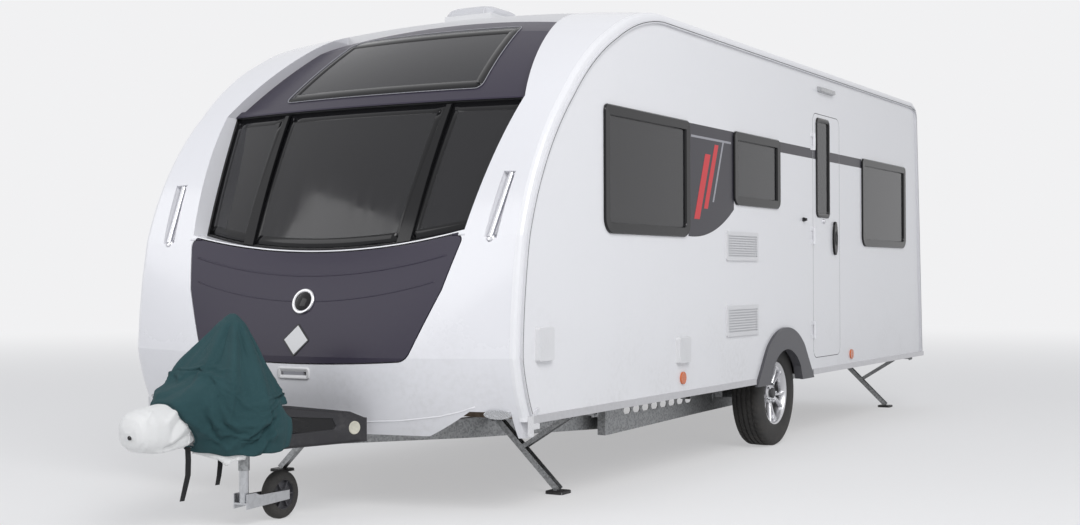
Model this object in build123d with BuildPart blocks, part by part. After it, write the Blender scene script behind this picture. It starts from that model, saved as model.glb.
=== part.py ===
from build123d import *
import os
from math import atan2, ceil, cos, degrees, radians, sin, sqrt

# Touring caravan in millimetres: x forward to the hitch, y to the door side, z up.
# The origin lies on the ground under the middle of the body and hitch together.
os.makedirs("parts", exist_ok=True)

# Body
wall_y = 1115.0
wall_thickness = 28.0
edge_round = 26.0
rail_inset = 40.0
panel_gap = 0.3
floor_under_z = 421.0
floor_thickness = 42.0
floor_top_z = floor_under_z + floor_thickness
roof_z = 2408.0
roof_crown = 54.0
nose_x = 2577.0
tail_x = -3725.0
lip_z = 345.0
roof_joint_x = 1322.0
inner_y = wall_y - wall_thickness
floor_front_x = nose_x - 197
floor_rear_x = tail_x + 30

# Running gear
axle_x = -650.0
tyre_radius = 325.0
tyre_width = 185.0
tyre_outer_y = 1068.0
wheel_y = tyre_outer_y - tyre_width / 2
rim_radius = 193.0
member_y = 745.0

# Body outline, from the front lip over the nose and roof and back under the floor.
# Columns: place, way to it, x and z at the side wall, x and z on the centre line.
BODY = (
    ("lip", "start", nose_x - 137, lip_z, nose_x + 63, lip_z),
    ("bumper", "through", nose_x - 42, 535, nose_x + 107, 510),
    ("nose", "arc", nose_x, 700, nose_x + 115, 690),
    ("locker", "through", nose_x - 21, 975, nose_x + 43, 940),
    ("sill", "arc", nose_x - 63, 1236, nose_x - 71, 1178),
    ("screen", "through", nose_x - 227, 1604, nose_x - 237, 1540),
    ("brow", "arc", nose_x - 475, 1912, nose_x - 427, 1895),
    ("forehead", "through", nose_x - 687, 2103, nose_x - 697, 2135),
    ("skylight", "arc", nose_x - 937, roof_z - 156, nose_x - 987, roof_z - 73),
    ("roof curve", "through", nose_x - 1187, roof_z - 52, nose_x - 1217, roof_z + 17),
    ("roof front", "arc", nose_x - 1477, roof_z, nose_x - 1477, roof_z + roof_crown),
    ("roof rear", "line", tail_x + 245, roof_z, tail_x + 245, roof_z + roof_crown),
    ("tail corner", "through", tail_x + 157, roof_z - 46, tail_x + 135, roof_z + 4),
    ("tail top", "bend", tail_x + 121, roof_z - 168, tail_x + 91, roof_z - 138),
    ("tail middle", "through", tail_x + 57, 1330, tail_x + 22, 1300),
    ("tail foot", "arc", tail_x, floor_under_z, tail_x - 30, floor_under_z),
    ("floor end", "line", floor_front_x, floor_under_z, floor_front_x, floor_under_z),
    ("apron", "line", floor_front_x, lip_z, floor_front_x, lip_z),
)

# The glazed front is set in from the body outline towards the sides.
# Columns: place, way to it, x and z in the side wall's plane, x and z on the centre line.
GLAZED = (
    ("sill foot", "start", nose_x - 197, 1130, nose_x - 62, 1130),
    ("sill", "line", nose_x - 221, 1181, nose_x - 76, 1178),
    ("screen", "through", nose_x - 393, 1540, nose_x - 240, 1540),
    ("brow", "arc", nose_x - 576, 1888, nose_x - 433, 1888),
    ("forehead", "through", nose_x - 820, 2085, nose_x - 712, 2118),
    ("skylight", "arc", nose_x - 1080, 2240, nose_x - 1002, 2320),
    ("roof curve", "through", nose_x - 1290, 2305, nose_x - 1220, 2400),
    ("roof front", "arc", nose_x - 1477, 2345, nose_x - 1477, 2436),
    ("back", "line", nose_x - 1477, 1130, nose_x - 1477, 1130),
)

# The space inside the panels.
# Columns: place, way to it, x and z at the side wall, x and z on the centre line.
CABIN = (
    ("floor front", "start", nose_x - 150, floor_top_z, nose_x + 40, floor_top_z),
    ("nose", "through", nose_x - 58, 600, nose_x + 80, 600),
    ("locker low", "arc", nose_x - 36, 760, nose_x + 76, 760),
    ("locker", "through", nose_x - 60, 1000, nose_x + 10, 945),
    ("locker top", "arc", nose_x - 180, 1220, nose_x - 98, 1165),
    ("screen", "through", nose_x - 405, 1530, nose_x - 264, 1528),
    ("brow", "arc", nose_x - 605, 1872, nose_x - 455, 1868),
    ("forehead", "through", nose_x - 838, 2064, nose_x - 730, 2096),
    ("skylight", "arc", nose_x - 1090, 2217, nose_x - 1012, 2296),
    ("roof curve", "through", nose_x - 1290, 2280, nose_x - 1224, 2375),
    ("roof front", "arc", nose_x - 1477, 2318, nose_x - 1477, 2411),
    ("roof rear", "line", tail_x + 265, roof_z - 30, tail_x + 265, roof_z + 24),
    ("tail corner", "through", tail_x + 185, roof_z - 62, tail_x + 163, roof_z - 20),
    ("tail top", "arc", tail_x + 150, roof_z - 170, tail_x + 120, roof_z - 145),
    ("tail middle", "through", tail_x + 87, 1330, tail_x + 52, 1300),
    ("tail foot", "arc", tail_x + 30, floor_top_z, tail_x, floor_top_z),
)


bend_chords = 9


def trace(table):
    """Draw one closed outline from rows of name, way, x and z. A bend is an arc made of chords."""
    first = last = through = table[0][2:]
    for name, way, *place in table[1:]:
        point = tuple(place)
        if way == "through":
            through = point
            continue
        if way == "arc":
            ThreePointArc(last, through, point)
        elif way == "bend":
            bend = ThreePointArc(last, through, point, mode=Mode.PRIVATE)
            inner = [bend @ (k / bend_chords) for k in range(1, bend_chords)]
            Polyline(last, *inner, point)
        else:
            Line(last, point)
        last = point
    Line(last, first)


def rows_at(table, share):
    """A table's rows at a share of the way from the middle to the side wall."""
    bow = 1 - share * share
    return [
        (name, way, x + (middle_x - x) * bow, z + (middle_z - z) * bow)
        for name, way, x, z, middle_x, middle_z in table
    ]


def loft_across(table, half_width, shares=(-1, 0, 1), ruled=False):
    """Loft a table's outlines from side wall to side wall."""
    with BuildPart() as form:
        for share in shares:
            with BuildSketch(Plane.XZ.offset(-share * half_width)):
                with BuildLine():
                    trace(rows_at(table, share))
                make_face()
        loft(ruled=ruled)
    return form.part


def straightened(table):
    """The same table with a straight line to each of its points."""
    return [(name, "line", *places) for name, way, *places in table]


def front_prism(outline, x_from, x_to):
    """Extrude a face drawn in the front view along x."""
    with BuildPart() as prism:
        with BuildSketch(Plane.YZ.offset(x_from)):
            add(outline)
        extrude(amount=x_to - x_from)
    return prism.part


def side_prism(outline, y_from, y_to):
    """Extrude a face drawn in the side view along y."""
    with BuildPart() as prism:
        with BuildSketch(Plane.XZ.offset(-y_from)):
            add(outline)
        extrude(amount=-(y_to - y_from))
    return prism.part


def block(x_from, x_to, y_from, y_to, z_from, z_to):
    """A box between named planes."""
    middle = ((x_from + x_to) / 2, (y_from + y_to) / 2, (z_from + z_to) / 2)
    size = (x_to - x_from, y_to - y_from, z_to - z_from)
    return Pos(*middle) * Box(*size, mode=Mode.PRIVATE)


def grown(face, amount, corners=Kind.INTERSECTION):
    """The same face, larger all round by an amount or smaller by a negative one."""
    return offset(face, amount, kind=corners, mode=Mode.PRIVATE)


def save(part, label):
    """Label a finished piece and write its file."""
    part.label = label
    export_step(part, f"parts/{label}.step")


def rod(x, z, y_from, y_to, radius):
    """A round bar across the body."""
    with BuildSketch() as ring:
        with Locations((x, z)):
            Circle(radius)
    return side_prism(ring.sketch, y_from, y_to)


def post(x, y, z_from, z_to, radius):
    """An upright round bar."""
    with BuildPart() as bar:
        with BuildSketch(Plane.XY.offset(z_from)):
            with Locations((x, y)):
                Circle(radius)
        extrude(amount=z_to - z_from)
    return bar.part


# Forms that the body panels are cut from. Faces that don't show are plain.
INNER_SHARES = (-1, -0.5, 0, 0.5, 1)
body_form = loft_across(BODY, inner_y)
glazed_form = loft_across(GLAZED, wall_y)
cabin_form = loft_across(straightened(CABIN), inner_y, INNER_SHARES, ruled=True)
lid_thickness = 32.0
lid_back = Pos(-lid_thickness, 0, 0) * loft_across(straightened(BODY), inner_y, INNER_SHARES, ruled=True)
roof_foot_z = roof_z - 165

# Side walls: a flat sheet whose outer edge rounds over in steps.
# Columns: distance out from the inner face, how far the outline is drawn in.
WALL_EDGE = (
    (0.0, 0.0),
    (wall_thickness - edge_round, 0.0),
    (wall_thickness - edge_round * 0.5, edge_round * 0.134),
    (wall_thickness - edge_round * 0.134, edge_round * 0.5),
    (wall_thickness, edge_round),
)
chord_turn = 4.0
below_floor = 60.0


def closed_face(points):
    """Face inside a closed line through the points, leaving out any that repeat the last."""
    corners = [point for index, point in enumerate(points) if point != points[index - 1]]
    with BuildSketch() as face:
        with BuildLine():
            Polyline(*corners, close=True)
        make_face()
    return face.sketch


def outline_points(table):
    """Points along an outline, its arcs as chords that turn little."""
    points = []
    last = through = table[0][2:]
    for name, way, *place in table[1:]:
        point = tuple(place)
        if way == "through":
            through = point
            continue
        points.append(Vector(*last))
        if way in ("arc", "bend"):
            arc = ThreePointArc(last, through, point)
            count = ceil((arc % 0).get_angle(arc % 1) / chord_turn)
            points += [arc @ (k / count) for k in range(1, count)]
        last = point
    points.append(Vector(*last))
    return points


def drawn_in(points, amount):
    """The same closed line of points, drawn in by an amount."""
    inner = []
    for index, point in enumerate(points):
        before = (point - points[index - 1]).normalized()
        after = (points[(index + 1) % len(points)] - point).normalized()
        run = (before + after).normalized()
        inner.append(point + Vector(-run.Y, run.X) * (amount / max(0.5, run.dot(after))))
    return [(point.X, point.Y) for point in inner]


wall_points = [
    Vector(point.X, point.Y - below_floor) if point.Y < floor_under_z + 1 else point
    for point in outline_points(rows_at(BODY, 1))
]


def wall_form(side):
    """One side wall before its openings are cut."""
    with BuildPart() as form:
        for depth, inset in WALL_EDGE:
            with BuildSketch(Plane.XZ.offset(-side * (inner_y + depth))):
                add(closed_face(drawn_in(wall_points, inset)))
        loft(ruled=True)
        add(
            block(tail_x - 60, nose_x + 60, -wall_y - 1, wall_y + 1, floor_under_z, roof_z + 60),
            mode=Mode.INTERSECT,
        )
    return form.part


# Side windows: columns are name, front x, rear x, bottom z, corner radius at the foot.
window_top_z = 1873.0
SIDE_WINDOWS = (
    ("front", 1745, 776, 1265, 70),
    ("kitchen", 148, -564, 1464, 45),
    ("rear", -2192, -3240, 1262, 70),
)
window_corner = 28.0
window_gap = 0.3


def window_face(front_x, rear_x, bottom_z, foot_radius, inset):
    """Face of a side window, its top corners tighter than its foot."""
    with BuildSketch() as face:
        width = front_x - rear_x - 2 * inset
        height = window_top_z - bottom_z - 2 * inset
        with Locations(((front_x + rear_x) / 2, (window_top_z + bottom_z) / 2)):
            Rectangle(width, height)
        foot = face.vertices().group_by(Axis.Y)[0]
        fillet(foot, foot_radius - inset)
        top = face.vertices().group_by(Axis.Y)[-1]
        fillet(top, window_corner - inset)
    return face.sketch


# Door, hinged at its front edge
door_front_x = -1176.0
door_rear_x = -1707.0
door_bottom_z = 515.0
door_top_z = 2111.0
door_corner = 60.0
door_gap = 4.0
with BuildSketch() as door_hole:
    with Locations(((door_front_x + door_rear_x) / 2, (door_bottom_z + door_top_z) / 2)):
        RectangleRounded(
            door_front_x - door_rear_x, door_top_z - door_bottom_z, door_corner
        )
with BuildSketch() as door_face:
    add(grown(door_hole.sketch, -door_gap))
door_window_front_x = -1254.0
door_window_rear_x = -1480.0
door_window_bottom_z = 1450.0
door_window_top_z = 2066.0
with BuildSketch() as door_window:
    with Locations(
        (
            (door_window_front_x + door_window_rear_x) / 2,
            (door_window_bottom_z + door_window_top_z) / 2,
        )
    ):
        RectangleRounded(
            door_window_front_x - door_window_rear_x,
            door_window_top_z - door_window_bottom_z,
            22,
        )

# Wheel arch in the walls and its trim
arch_opening = 272.0
arch_wall_radius = 300.0
arch_bottom_z = 395.0
arch_top_z = 732.0
arch_half_foot = 490.0


def arch_face(half_foot, shoulder_x, shoulder_z, top_z):
    """Face under an arch whose flanks lean in to a round top."""
    with BuildSketch() as face:
        with BuildLine():
            foot_rear = (axle_x - half_foot, arch_bottom_z)
            foot_front = (axle_x + half_foot, arch_bottom_z)
            shoulder_rear = (axle_x - shoulder_x, shoulder_z)
            shoulder_front = (axle_x + shoulder_x, shoulder_z)
            Line(foot_rear, shoulder_rear)
            ThreePointArc(shoulder_rear, (axle_x, top_z), shoulder_front)
            Line(shoulder_front, foot_front)
            Line(foot_front, foot_rear)
        make_face()
    return face.sketch


arch_outer = arch_face(arch_half_foot, 318, 610, arch_top_z)
arch_inner = arch_face(arch_opening + 6, arch_opening - 30, 480, tyre_radius + arch_opening)
arch_cut = arch_face(arch_wall_radius + 8, arch_wall_radius - 28, 490, tyre_radius + arch_wall_radius)

# Door hinges: knuckles outside the wall, the leaf's between the wall's two
hinge_x = door_front_x - 2
hinge_radius = 9.0
hinge_y = wall_y + hinge_radius
hinge_leaf = 4.0
hinge_reach = 46.0
hinge_half = 30.0
knuckle = 26.0
knuckle_gap = 0.3
HINGE_HEIGHTS = (700.0, 1310.0, 1920.0)

# Side walls
with BuildPart() as side_wall_left:
    add(wall_form(1))
    for name, front_x, rear_x, bottom_z, foot_radius in SIDE_WINDOWS:
        hole = window_face(front_x, rear_x, bottom_z, foot_radius, 0)
        add(side_prism(hole, inner_y - 1, wall_y + 1), mode=Mode.SUBTRACT)
    add(side_prism(door_hole.sketch, inner_y - 1, wall_y + 1), mode=Mode.SUBTRACT)
    add(side_prism(arch_cut, inner_y - 1, wall_y + 1), mode=Mode.SUBTRACT)
    for z in HINGE_HEIGHTS:
        for low in (z - hinge_half - knuckle, z + hinge_half + knuckle_gap):
            high = low + knuckle - knuckle_gap
            add(post(hinge_x, hinge_y, low, high, hinge_radius))
            add(block(hinge_x, hinge_x + hinge_reach, wall_y, wall_y + hinge_leaf, low, high))
save(side_wall_left.part, "side_wall_left")

with BuildPart() as side_wall_right:
    add(wall_form(-1))
    for name, front_x, rear_x, bottom_z, foot_radius in SIDE_WINDOWS:
        hole = window_face(front_x, rear_x, bottom_z, foot_radius, 0)
        add(side_prism(hole, -wall_y - 1, -inner_y + 1), mode=Mode.SUBTRACT)
    add(side_prism(arch_cut, -wall_y - 1, -inner_y + 1), mode=Mode.SUBTRACT)
save(side_wall_right.part, "side_wall_right")

# Rear window opening, in the rear panel
rear_window_half = 560.0
rear_window_bottom_z = 1330.0
rear_window_top_z = 1873.0
rear_window_radius = 60.0


def rear_window_face(inset):
    """Face of the rear window in the view along x."""
    with BuildSketch() as face:
        with Locations((0, (rear_window_bottom_z + rear_window_top_z) / 2)):
            RectangleRounded(
                2 * (rear_window_half - inset),
                rear_window_top_z - rear_window_bottom_z - 2 * inset,
                rear_window_radius - inset,
            )
    return face.sketch


def skin_piece(form, face, x_from, x_to):
    """The part of a form inside a face drawn in the front view, down to the cabin."""
    with BuildPart() as piece:
        add(form)
        add(front_prism(face, x_from, x_to), mode=Mode.INTERSECT)
        add(cabin_form, mode=Mode.SUBTRACT)
    return piece.part


def skin_patch(face, lift, x_from, x_to):
    """A patch that lies on the body inside a face drawn in the front view."""
    with BuildPart() as patch:
        add(front_prism(face, x_from, x_to))
        add(Pos(lift, 0, 0) * body_form, mode=Mode.INTERSECT)
        add(body_form, mode=Mode.SUBTRACT)
    return patch.part


# Side and rear windows in one node: seven panes that don't touch
with BuildPart() as cabin_windows:
    for side in (-1, 1):
        for name, front_x, rear_x, bottom_z, foot_radius in SIDE_WINDOWS:
            pane = window_face(front_x, rear_x, bottom_z, foot_radius, window_gap)
            near, far = sorted((side * (inner_y + 2), side * wall_y))
            add(side_prism(pane, near, far))
    add(skin_piece(body_form, rear_window_face(window_gap), tail_x - 60, tail_x + 200))
save(cabin_windows.part, "cabin_windows")

# Front outlines, drawn in the view along x
brow_z = 1890.0
screen_foot_z = 1178.0
screen_foot_radius = 3800.0
screen_half_foot = 805.0
screen_half_top = 906.0
mullion_foot_y = 462.0
mullion_top_y = 493.0
crown_half = 734.0
crown_z = 2368.0


def screen_arc_z(y):
    """Height of the windscreen's curved foot at a distance from the middle."""
    return screen_foot_z + y * y / (2 * screen_foot_radius)


screen_corner_z = screen_arc_z(screen_half_foot) + 22


def screen_face(y_foot_a, y_top_a, y_foot_b, y_top_b, lower, upper):
    """Face between two upright lines, over the screen's curved foot."""
    with BuildSketch() as face:
        with BuildLine():
            a = (y_foot_a, screen_arc_z(y_foot_a) + lower)
            b = (y_foot_b, screen_arc_z(y_foot_b) + lower)
            middle_y = (y_foot_a + y_foot_b) / 2
            ThreePointArc(a, (middle_y, screen_arc_z(middle_y) + lower), b)
            Line(b, (y_top_b, brow_z + upper))
            Line((y_top_b, brow_z + upper), (y_top_a, brow_z + upper))
            Line((y_top_a, brow_z + upper), a)
        make_face()
    return face.sketch


with BuildSketch() as crown_face:
    with BuildLine():
        Polyline(
            (-screen_half_top, brow_z),
            (-crown_half, crown_z),
            (-crown_half + 20, roof_z + 90),
            (crown_half - 20, roof_z + 90),
            (crown_half, crown_z),
            (screen_half_top, brow_z),
            close=True,
        )
    make_face()

lid_shoulder_y = 804.0
lid_shoulder_z = 1222.0
lid_waist_y = 742.0
lid_waist_z = 993.0
lid_low_y = 600.0
lid_low_z = 676.0
lid_foot_z = 654.0
lid_gap = 6.0
with BuildSketch() as lid_hole:
    with BuildLine():
        top_a = (-lid_shoulder_y + 30, screen_arc_z(lid_shoulder_y - 30) - 6)
        top_b = (lid_shoulder_y - 30, screen_arc_z(lid_shoulder_y - 30) - 6)
        ThreePointArc(top_a, (0, screen_foot_z - 6), top_b)
        Line(top_b, (lid_shoulder_y, lid_shoulder_z))
        Line((lid_shoulder_y, lid_shoulder_z), (lid_waist_y, lid_waist_z))
        Line((lid_waist_y, lid_waist_z), (lid_low_y, lid_low_z))
        ThreePointArc((lid_low_y, lid_low_z), (0, lid_foot_z), (-lid_low_y, lid_low_z))
        Line((-lid_low_y, lid_low_z), (-lid_waist_y, lid_waist_z))
        Line((-lid_waist_y, lid_waist_z), (-lid_shoulder_y, lid_shoulder_z))
        Line((-lid_shoulder_y, lid_shoulder_z), top_a)
    make_face()
    low = lid_hole.vertices().filter_by_position(Axis.Y, lid_low_z - 1, lid_low_z + 1)
    fillet(low, 70)
    shoulders = lid_hole.vertices().filter_by_position(
        Axis.Y, lid_shoulder_z - 1, lid_shoulder_z + 1
    )
    fillet(shoulders, 26)

with BuildSketch() as lid_face:
    add(grown(lid_hole.sketch, -lid_gap))

screen_all = screen_face(
    -screen_half_foot, -screen_half_top, screen_half_foot, screen_half_top, -panel_gap, 0
)
# Hinge pins at the lid's upper corners, on the outer skin
lid_hinge_x = 2498.0
lid_hinge_z = 1241.0
lid_pin_radius = 5.0
lid_pin_room = 10.0
lid_pin_y = 779.0
lid_pin_reach = 34.0
lid_pin_gap = 0.3
front_x_from = roof_joint_x + panel_gap
front_x_to = nose_x + 220

# Grab handles in scoops on the front pillars, from a lower to an upper end
handle_foot = Vector(nose_x - 78, 952, 1219)
handle_head = Vector(nose_x - 218, 980, 1509)
handle_radius = 13.0
handle_stand = 14.0
scoop_radius = 34.0
scoop_stand = 22.0


def pillar_rod(side, stand, radius):
    """A rod along one front pillar, stood off from it."""
    run = (handle_head - handle_foot).normalized()
    out = Vector(run.Z, 0, -run.X).normalized()
    foot = handle_foot + out * stand
    start = Vector(foot.X, side * foot.Y, foot.Z)
    along = Vector(run.X, side * run.Y, run.Z)
    with BuildPart() as rod:
        with BuildSketch(Plane(origin=start, z_dir=along)):
            Circle(radius)
        extrude(amount=(handle_head - handle_foot).length)
    return rod.part


handle_scoops = [pillar_rod(side, scoop_stand, scoop_radius) for side in (-1, 1)]
bar_notch_y = 292.0
bar_notch_z = 412.0

# Front moulding: pillars, nose and bumper around the lid and the glazing
with BuildPart() as front_moulding:
    add(body_form)
    add(
        block(front_x_from, front_x_to, -inner_y, inner_y, lip_z - 5, roof_z + 200),
        mode=Mode.INTERSECT,
    )
    add(cabin_form, mode=Mode.SUBTRACT)
    add(
        block(nose_x - 260, nose_x - 12, -inner_y + 30, inner_y - 30, lip_z - 5, floor_top_z),
        mode=Mode.SUBTRACT,
    )
    add(
        block(front_x_from - 1, floor_front_x, -wall_y, wall_y, lip_z, floor_top_z),
        mode=Mode.SUBTRACT,
    )
    add(front_prism(screen_all, front_x_from - 300, front_x_to), mode=Mode.SUBTRACT)
    add(
        front_prism(grown(crown_face.sketch, panel_gap), front_x_from - 300, front_x_to),
        mode=Mode.SUBTRACT,
    )
    add(front_prism(lid_hole.sketch, nose_x - 400, front_x_to), mode=Mode.SUBTRACT)
    add(
        block(floor_front_x, front_x_to, -bar_notch_y, bar_notch_y, lip_z - 5, bar_notch_z),
        mode=Mode.SUBTRACT,
    )
    for scoop in handle_scoops:
        add(scoop, mode=Mode.SUBTRACT)
    for side in (-1, 1):
        near, far = sorted((side * lid_pin_y, side * (lid_pin_y + lid_pin_reach)))
        add(rod(lid_hinge_x, lid_hinge_z, near, far, lid_pin_radius))
save(front_moulding.part, "front_moulding")

# Dark upper front panel with the skylight's opening
sky_foot_y = 592.0
sky_foot_z = 1961.0
sky_top_y = 519.0
sky_top_z = 2326.0
with BuildSketch() as sky_hole:
    with BuildLine():
        Polyline(
            (-sky_foot_y, sky_foot_z),
            (-sky_top_y, sky_top_z),
            (sky_top_y, sky_top_z),
            (sky_foot_y, sky_foot_z),
            close=True,
        )
    make_face()
    fillet(sky_hole.vertices(), 24)
ridge_height = 34.0
ridge_proud = (11.0, 0.0, 10.0)
with BuildPart() as ridge_form:
    add(Pos(*ridge_proud) * glazed_form)
    add(block(0, front_x_to, -wall_y, wall_y, brow_z, brow_z + ridge_height), mode=Mode.INTERSECT)
with BuildPart() as front_upper_panel:
    add(glazed_form)
    add(ridge_form.part)
    add(front_prism(sky_hole.sketch, front_x_from, front_x_to), mode=Mode.SUBTRACT)
    add(front_prism(crown_face.sketch, front_x_from, front_x_to), mode=Mode.INTERSECT)
    add(cabin_form, mode=Mode.SUBTRACT)
save(front_upper_panel.part, "front_upper_panel")

with BuildPart() as skylight:
    add(skin_piece(glazed_form, grown(sky_hole.sketch, -window_gap), front_x_from, front_x_to))
save(skylight.part, "skylight")

# Three panes of the windscreen. Columns: name, y at the foot and top of one side, then of the other.
pane_gap = 0.3
PANES = (
    ("centre", -mullion_foot_y, -mullion_top_y, mullion_foot_y, mullion_top_y),
    ("left", mullion_foot_y, mullion_top_y, screen_half_foot, screen_half_top),
    ("right", -screen_half_foot, -screen_half_top, -mullion_foot_y, -mullion_top_y),
)
with BuildPart() as front_windows:
    for name, foot_a, top_a, foot_b, top_b in PANES:
        face = screen_face(
            foot_a + pane_gap, top_a + pane_gap, foot_b - pane_gap, top_b - pane_gap, 0, -panel_gap
        )
        add(skin_piece(glazed_form, face, front_x_from, front_x_to))
save(front_windows.part, "front_windows")

# Tapered mullions over the joints between the panes
mullion_proud = (13.0, 0.0, 8.0)
mullion_foot_half = 34.0
mullion_top_half = 12.0


def mullion_prism(side):
    """Tapered strip over one joint, as deep as the front."""
    face = screen_face(
        side * mullion_foot_y - mullion_foot_half,
        side * mullion_top_y - mullion_top_half,
        side * mullion_foot_y + mullion_foot_half,
        side * mullion_top_y + mullion_top_half,
        8,
        -16,
    )
    return front_prism(face, front_x_from, front_x_to)


with BuildPart() as front_mullions:
    add(Pos(*mullion_proud) * glazed_form)
    add(mullion_prism(-1) + mullion_prism(1), mode=Mode.INTERSECT)
    add(glazed_form, mode=Mode.SUBTRACT)
save(front_mullions.part, "front_mullions")

# Gas locker lid, hinged above its top edge
with BuildPart() as locker_lid:
    add(body_form)
    add(front_prism(lid_face.sketch, nose_x - 400, front_x_to), mode=Mode.INTERSECT)
    add(lid_back, mode=Mode.SUBTRACT)
    for side in (-1, 1):
        near, far = sorted((side * (lid_pin_y - lid_pin_gap), side * (lid_pin_y + lid_pin_reach)))
        add(rod(lid_hinge_x, lid_hinge_z, near, far, lid_pin_room), mode=Mode.SUBTRACT)
        near, far = sorted((side * (lid_pin_y - lid_pin_reach), side * (lid_pin_y - lid_pin_gap)))
        add(rod(lid_hinge_x, lid_hinge_z, near, far, lid_pin_radius))
save(locker_lid.part, "locker_lid")

# Bulkhead behind the locker, its shelf and the arched rail under the windscreen
bulkhead_x = 2150.0
bulkhead_thickness = 22.0
shelf_z = 1204.0
shelf_front_x = 2345.0
rail_depth = 105.0
rail_height = 26.0
with BuildSketch() as rail_band:
    with BuildLine():
        half = screen_half_foot - 20
        a = (-half, screen_arc_z(half) + 4)
        b = (half, screen_arc_z(half) + 4)
        ThreePointArc(a, (0, screen_foot_z + 4), b)
        Line(b, (half, b[1] + rail_height))
        over_a = (-half, a[1] + rail_height)
        over_b = (half, b[1] + rail_height)
        ThreePointArc(over_b, (0, screen_foot_z + 4 + rail_height), over_a)
        Line(over_a, a)
    make_face()
with BuildPart() as locker_bulkhead:
    add(block(bulkhead_x - bulkhead_thickness, bulkhead_x, -inner_y, inner_y, floor_top_z, shelf_z))
    add(block(bulkhead_x - bulkhead_thickness, shelf_front_x + 30, -inner_y, inner_y, shelf_z, shelf_z + 14))
    add(front_prism(rail_band.sketch, shelf_front_x, nose_x))
    add(cabin_form, mode=Mode.INTERSECT)
save(locker_bulkhead.part, "locker_bulkhead")

# Rooflights: columns are name, middle x, length, width
ROOFLIGHTS = (("front", 1065, 300, 300), ("rear", -2450, 420, 420))
rooflight_frame = 34.0
with BuildPart() as roof_panel:
    add(body_form)
    add(
        block(tail_x - 60, roof_joint_x, -inner_y, inner_y, roof_foot_z, roof_z + 100),
        mode=Mode.INTERSECT,
    )
    add(cabin_form, mode=Mode.SUBTRACT)
    for name, middle_x, length, width in ROOFLIGHTS:
        hole = block(
            middle_x - length / 2 + rooflight_frame,
            middle_x + length / 2 - rooflight_frame,
            -width / 2 + rooflight_frame,
            width / 2 - rooflight_frame,
            roof_z - 60,
            roof_z + 120,
        )
        add(hole, mode=Mode.SUBTRACT)
save(roof_panel.part, "roof_panel")

with BuildPart() as rear_panel:
    add(body_form)
    add(
        block(tail_x - 60, tail_x + 300, -inner_y, inner_y, floor_under_z, roof_foot_z - panel_gap),
        mode=Mode.INTERSECT,
    )
    add(cabin_form, mode=Mode.SUBTRACT)
    add(block(floor_rear_x, tail_x + 301, -wall_y, wall_y, lip_z, floor_top_z), mode=Mode.SUBTRACT)
    add(front_prism(rear_window_face(0), tail_x - 60, tail_x + 300), mode=Mode.SUBTRACT)
save(rear_panel.part, "rear_panel")

# Wheel boxes and the floor cut round them
box_radius = 372.0
box_skin = 6.0
box_inner_y = tyre_outer_y - tyre_width - 88
with BuildSketch() as box_outline:
    with BuildLine():
        Line((axle_x - box_radius, floor_under_z), (axle_x - box_radius, 500))
        ThreePointArc(
            (axle_x - box_radius, 500),
            (axle_x, tyre_radius + box_radius),
            (axle_x + box_radius, 500),
        )
        Line((axle_x + box_radius, 500), (axle_x + box_radius, floor_under_z))
        Line((axle_x + box_radius, floor_under_z), (axle_x - box_radius, floor_under_z))
    make_face()
box_inside = grown(box_outline.sketch, -box_skin)
with BuildPart() as wheel_boxes:
    for side in (-1, 1):
        near = side * box_inner_y if side > 0 else -inner_y
        far = inner_y if side > 0 else -box_inner_y
        inner_near = near + box_skin if side > 0 else near
        inner_far = far if side > 0 else far - box_skin
        add(side_prism(box_outline.sketch, near, far))
        add(
            side_prism(box_inside, inner_near, inner_far) + block(
                axle_x - box_radius + box_skin,
                axle_x + box_radius - box_skin,
                inner_near,
                inner_far,
                floor_under_z - 5,
                500,
            ),
            mode=Mode.SUBTRACT,
        )
save(wheel_boxes.part, "wheel_boxes")

aisle_half = 425.0
aisle_rear_x = tail_x + 75
aisle_front_x = 2100.0
covering = 3.0
with BuildPart() as floor_panel:
    add(block(floor_rear_x, floor_front_x, -inner_y, inner_y, floor_under_z, floor_top_z))
    add(
        block(
            aisle_rear_x, aisle_front_x, -aisle_half, aisle_half, floor_top_z, floor_top_z + covering
        )
    )
    for side in (-1, 1):
        add(
            block(
                axle_x - box_radius,
                axle_x + box_radius,
                min(side * box_inner_y, side * inner_y),
                max(side * box_inner_y, side * inner_y),
                floor_under_z - 1,
                floor_top_z + 1,
            ),
            mode=Mode.SUBTRACT,
        )
save(floor_panel.part, "floor_panel")

# Door leaf, its pane and its handle
with BuildPart() as door_leaf:
    add(side_prism(door_face.sketch, inner_y, wall_y))
    add(side_prism(door_window.sketch, inner_y - 1, wall_y + 1), mode=Mode.SUBTRACT)
    for z in HINGE_HEIGHTS:
        low = z - hinge_half
        high = z + hinge_half
        add(post(hinge_x, hinge_y, low, high, hinge_radius))
        add(block(hinge_x - hinge_reach, hinge_x, wall_y, wall_y + hinge_leaf, low, high))
save(door_leaf.part, "door_leaf")
with BuildPart() as door_glass:
    add(side_prism(grown(door_window.sketch, -window_gap), inner_y + 3, wall_y - 2))
save(door_glass.part, "door_glass")
handle_x = -1593.0
handle_z = 1300.0
with BuildPart() as door_handle:
    with BuildSketch(Plane.XZ.offset(-wall_y)):
        with Locations((handle_x, handle_z)):
            Ellipse(36, 112)
    extrude(amount=-16)
save(door_handle.part, "door_handle")

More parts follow.
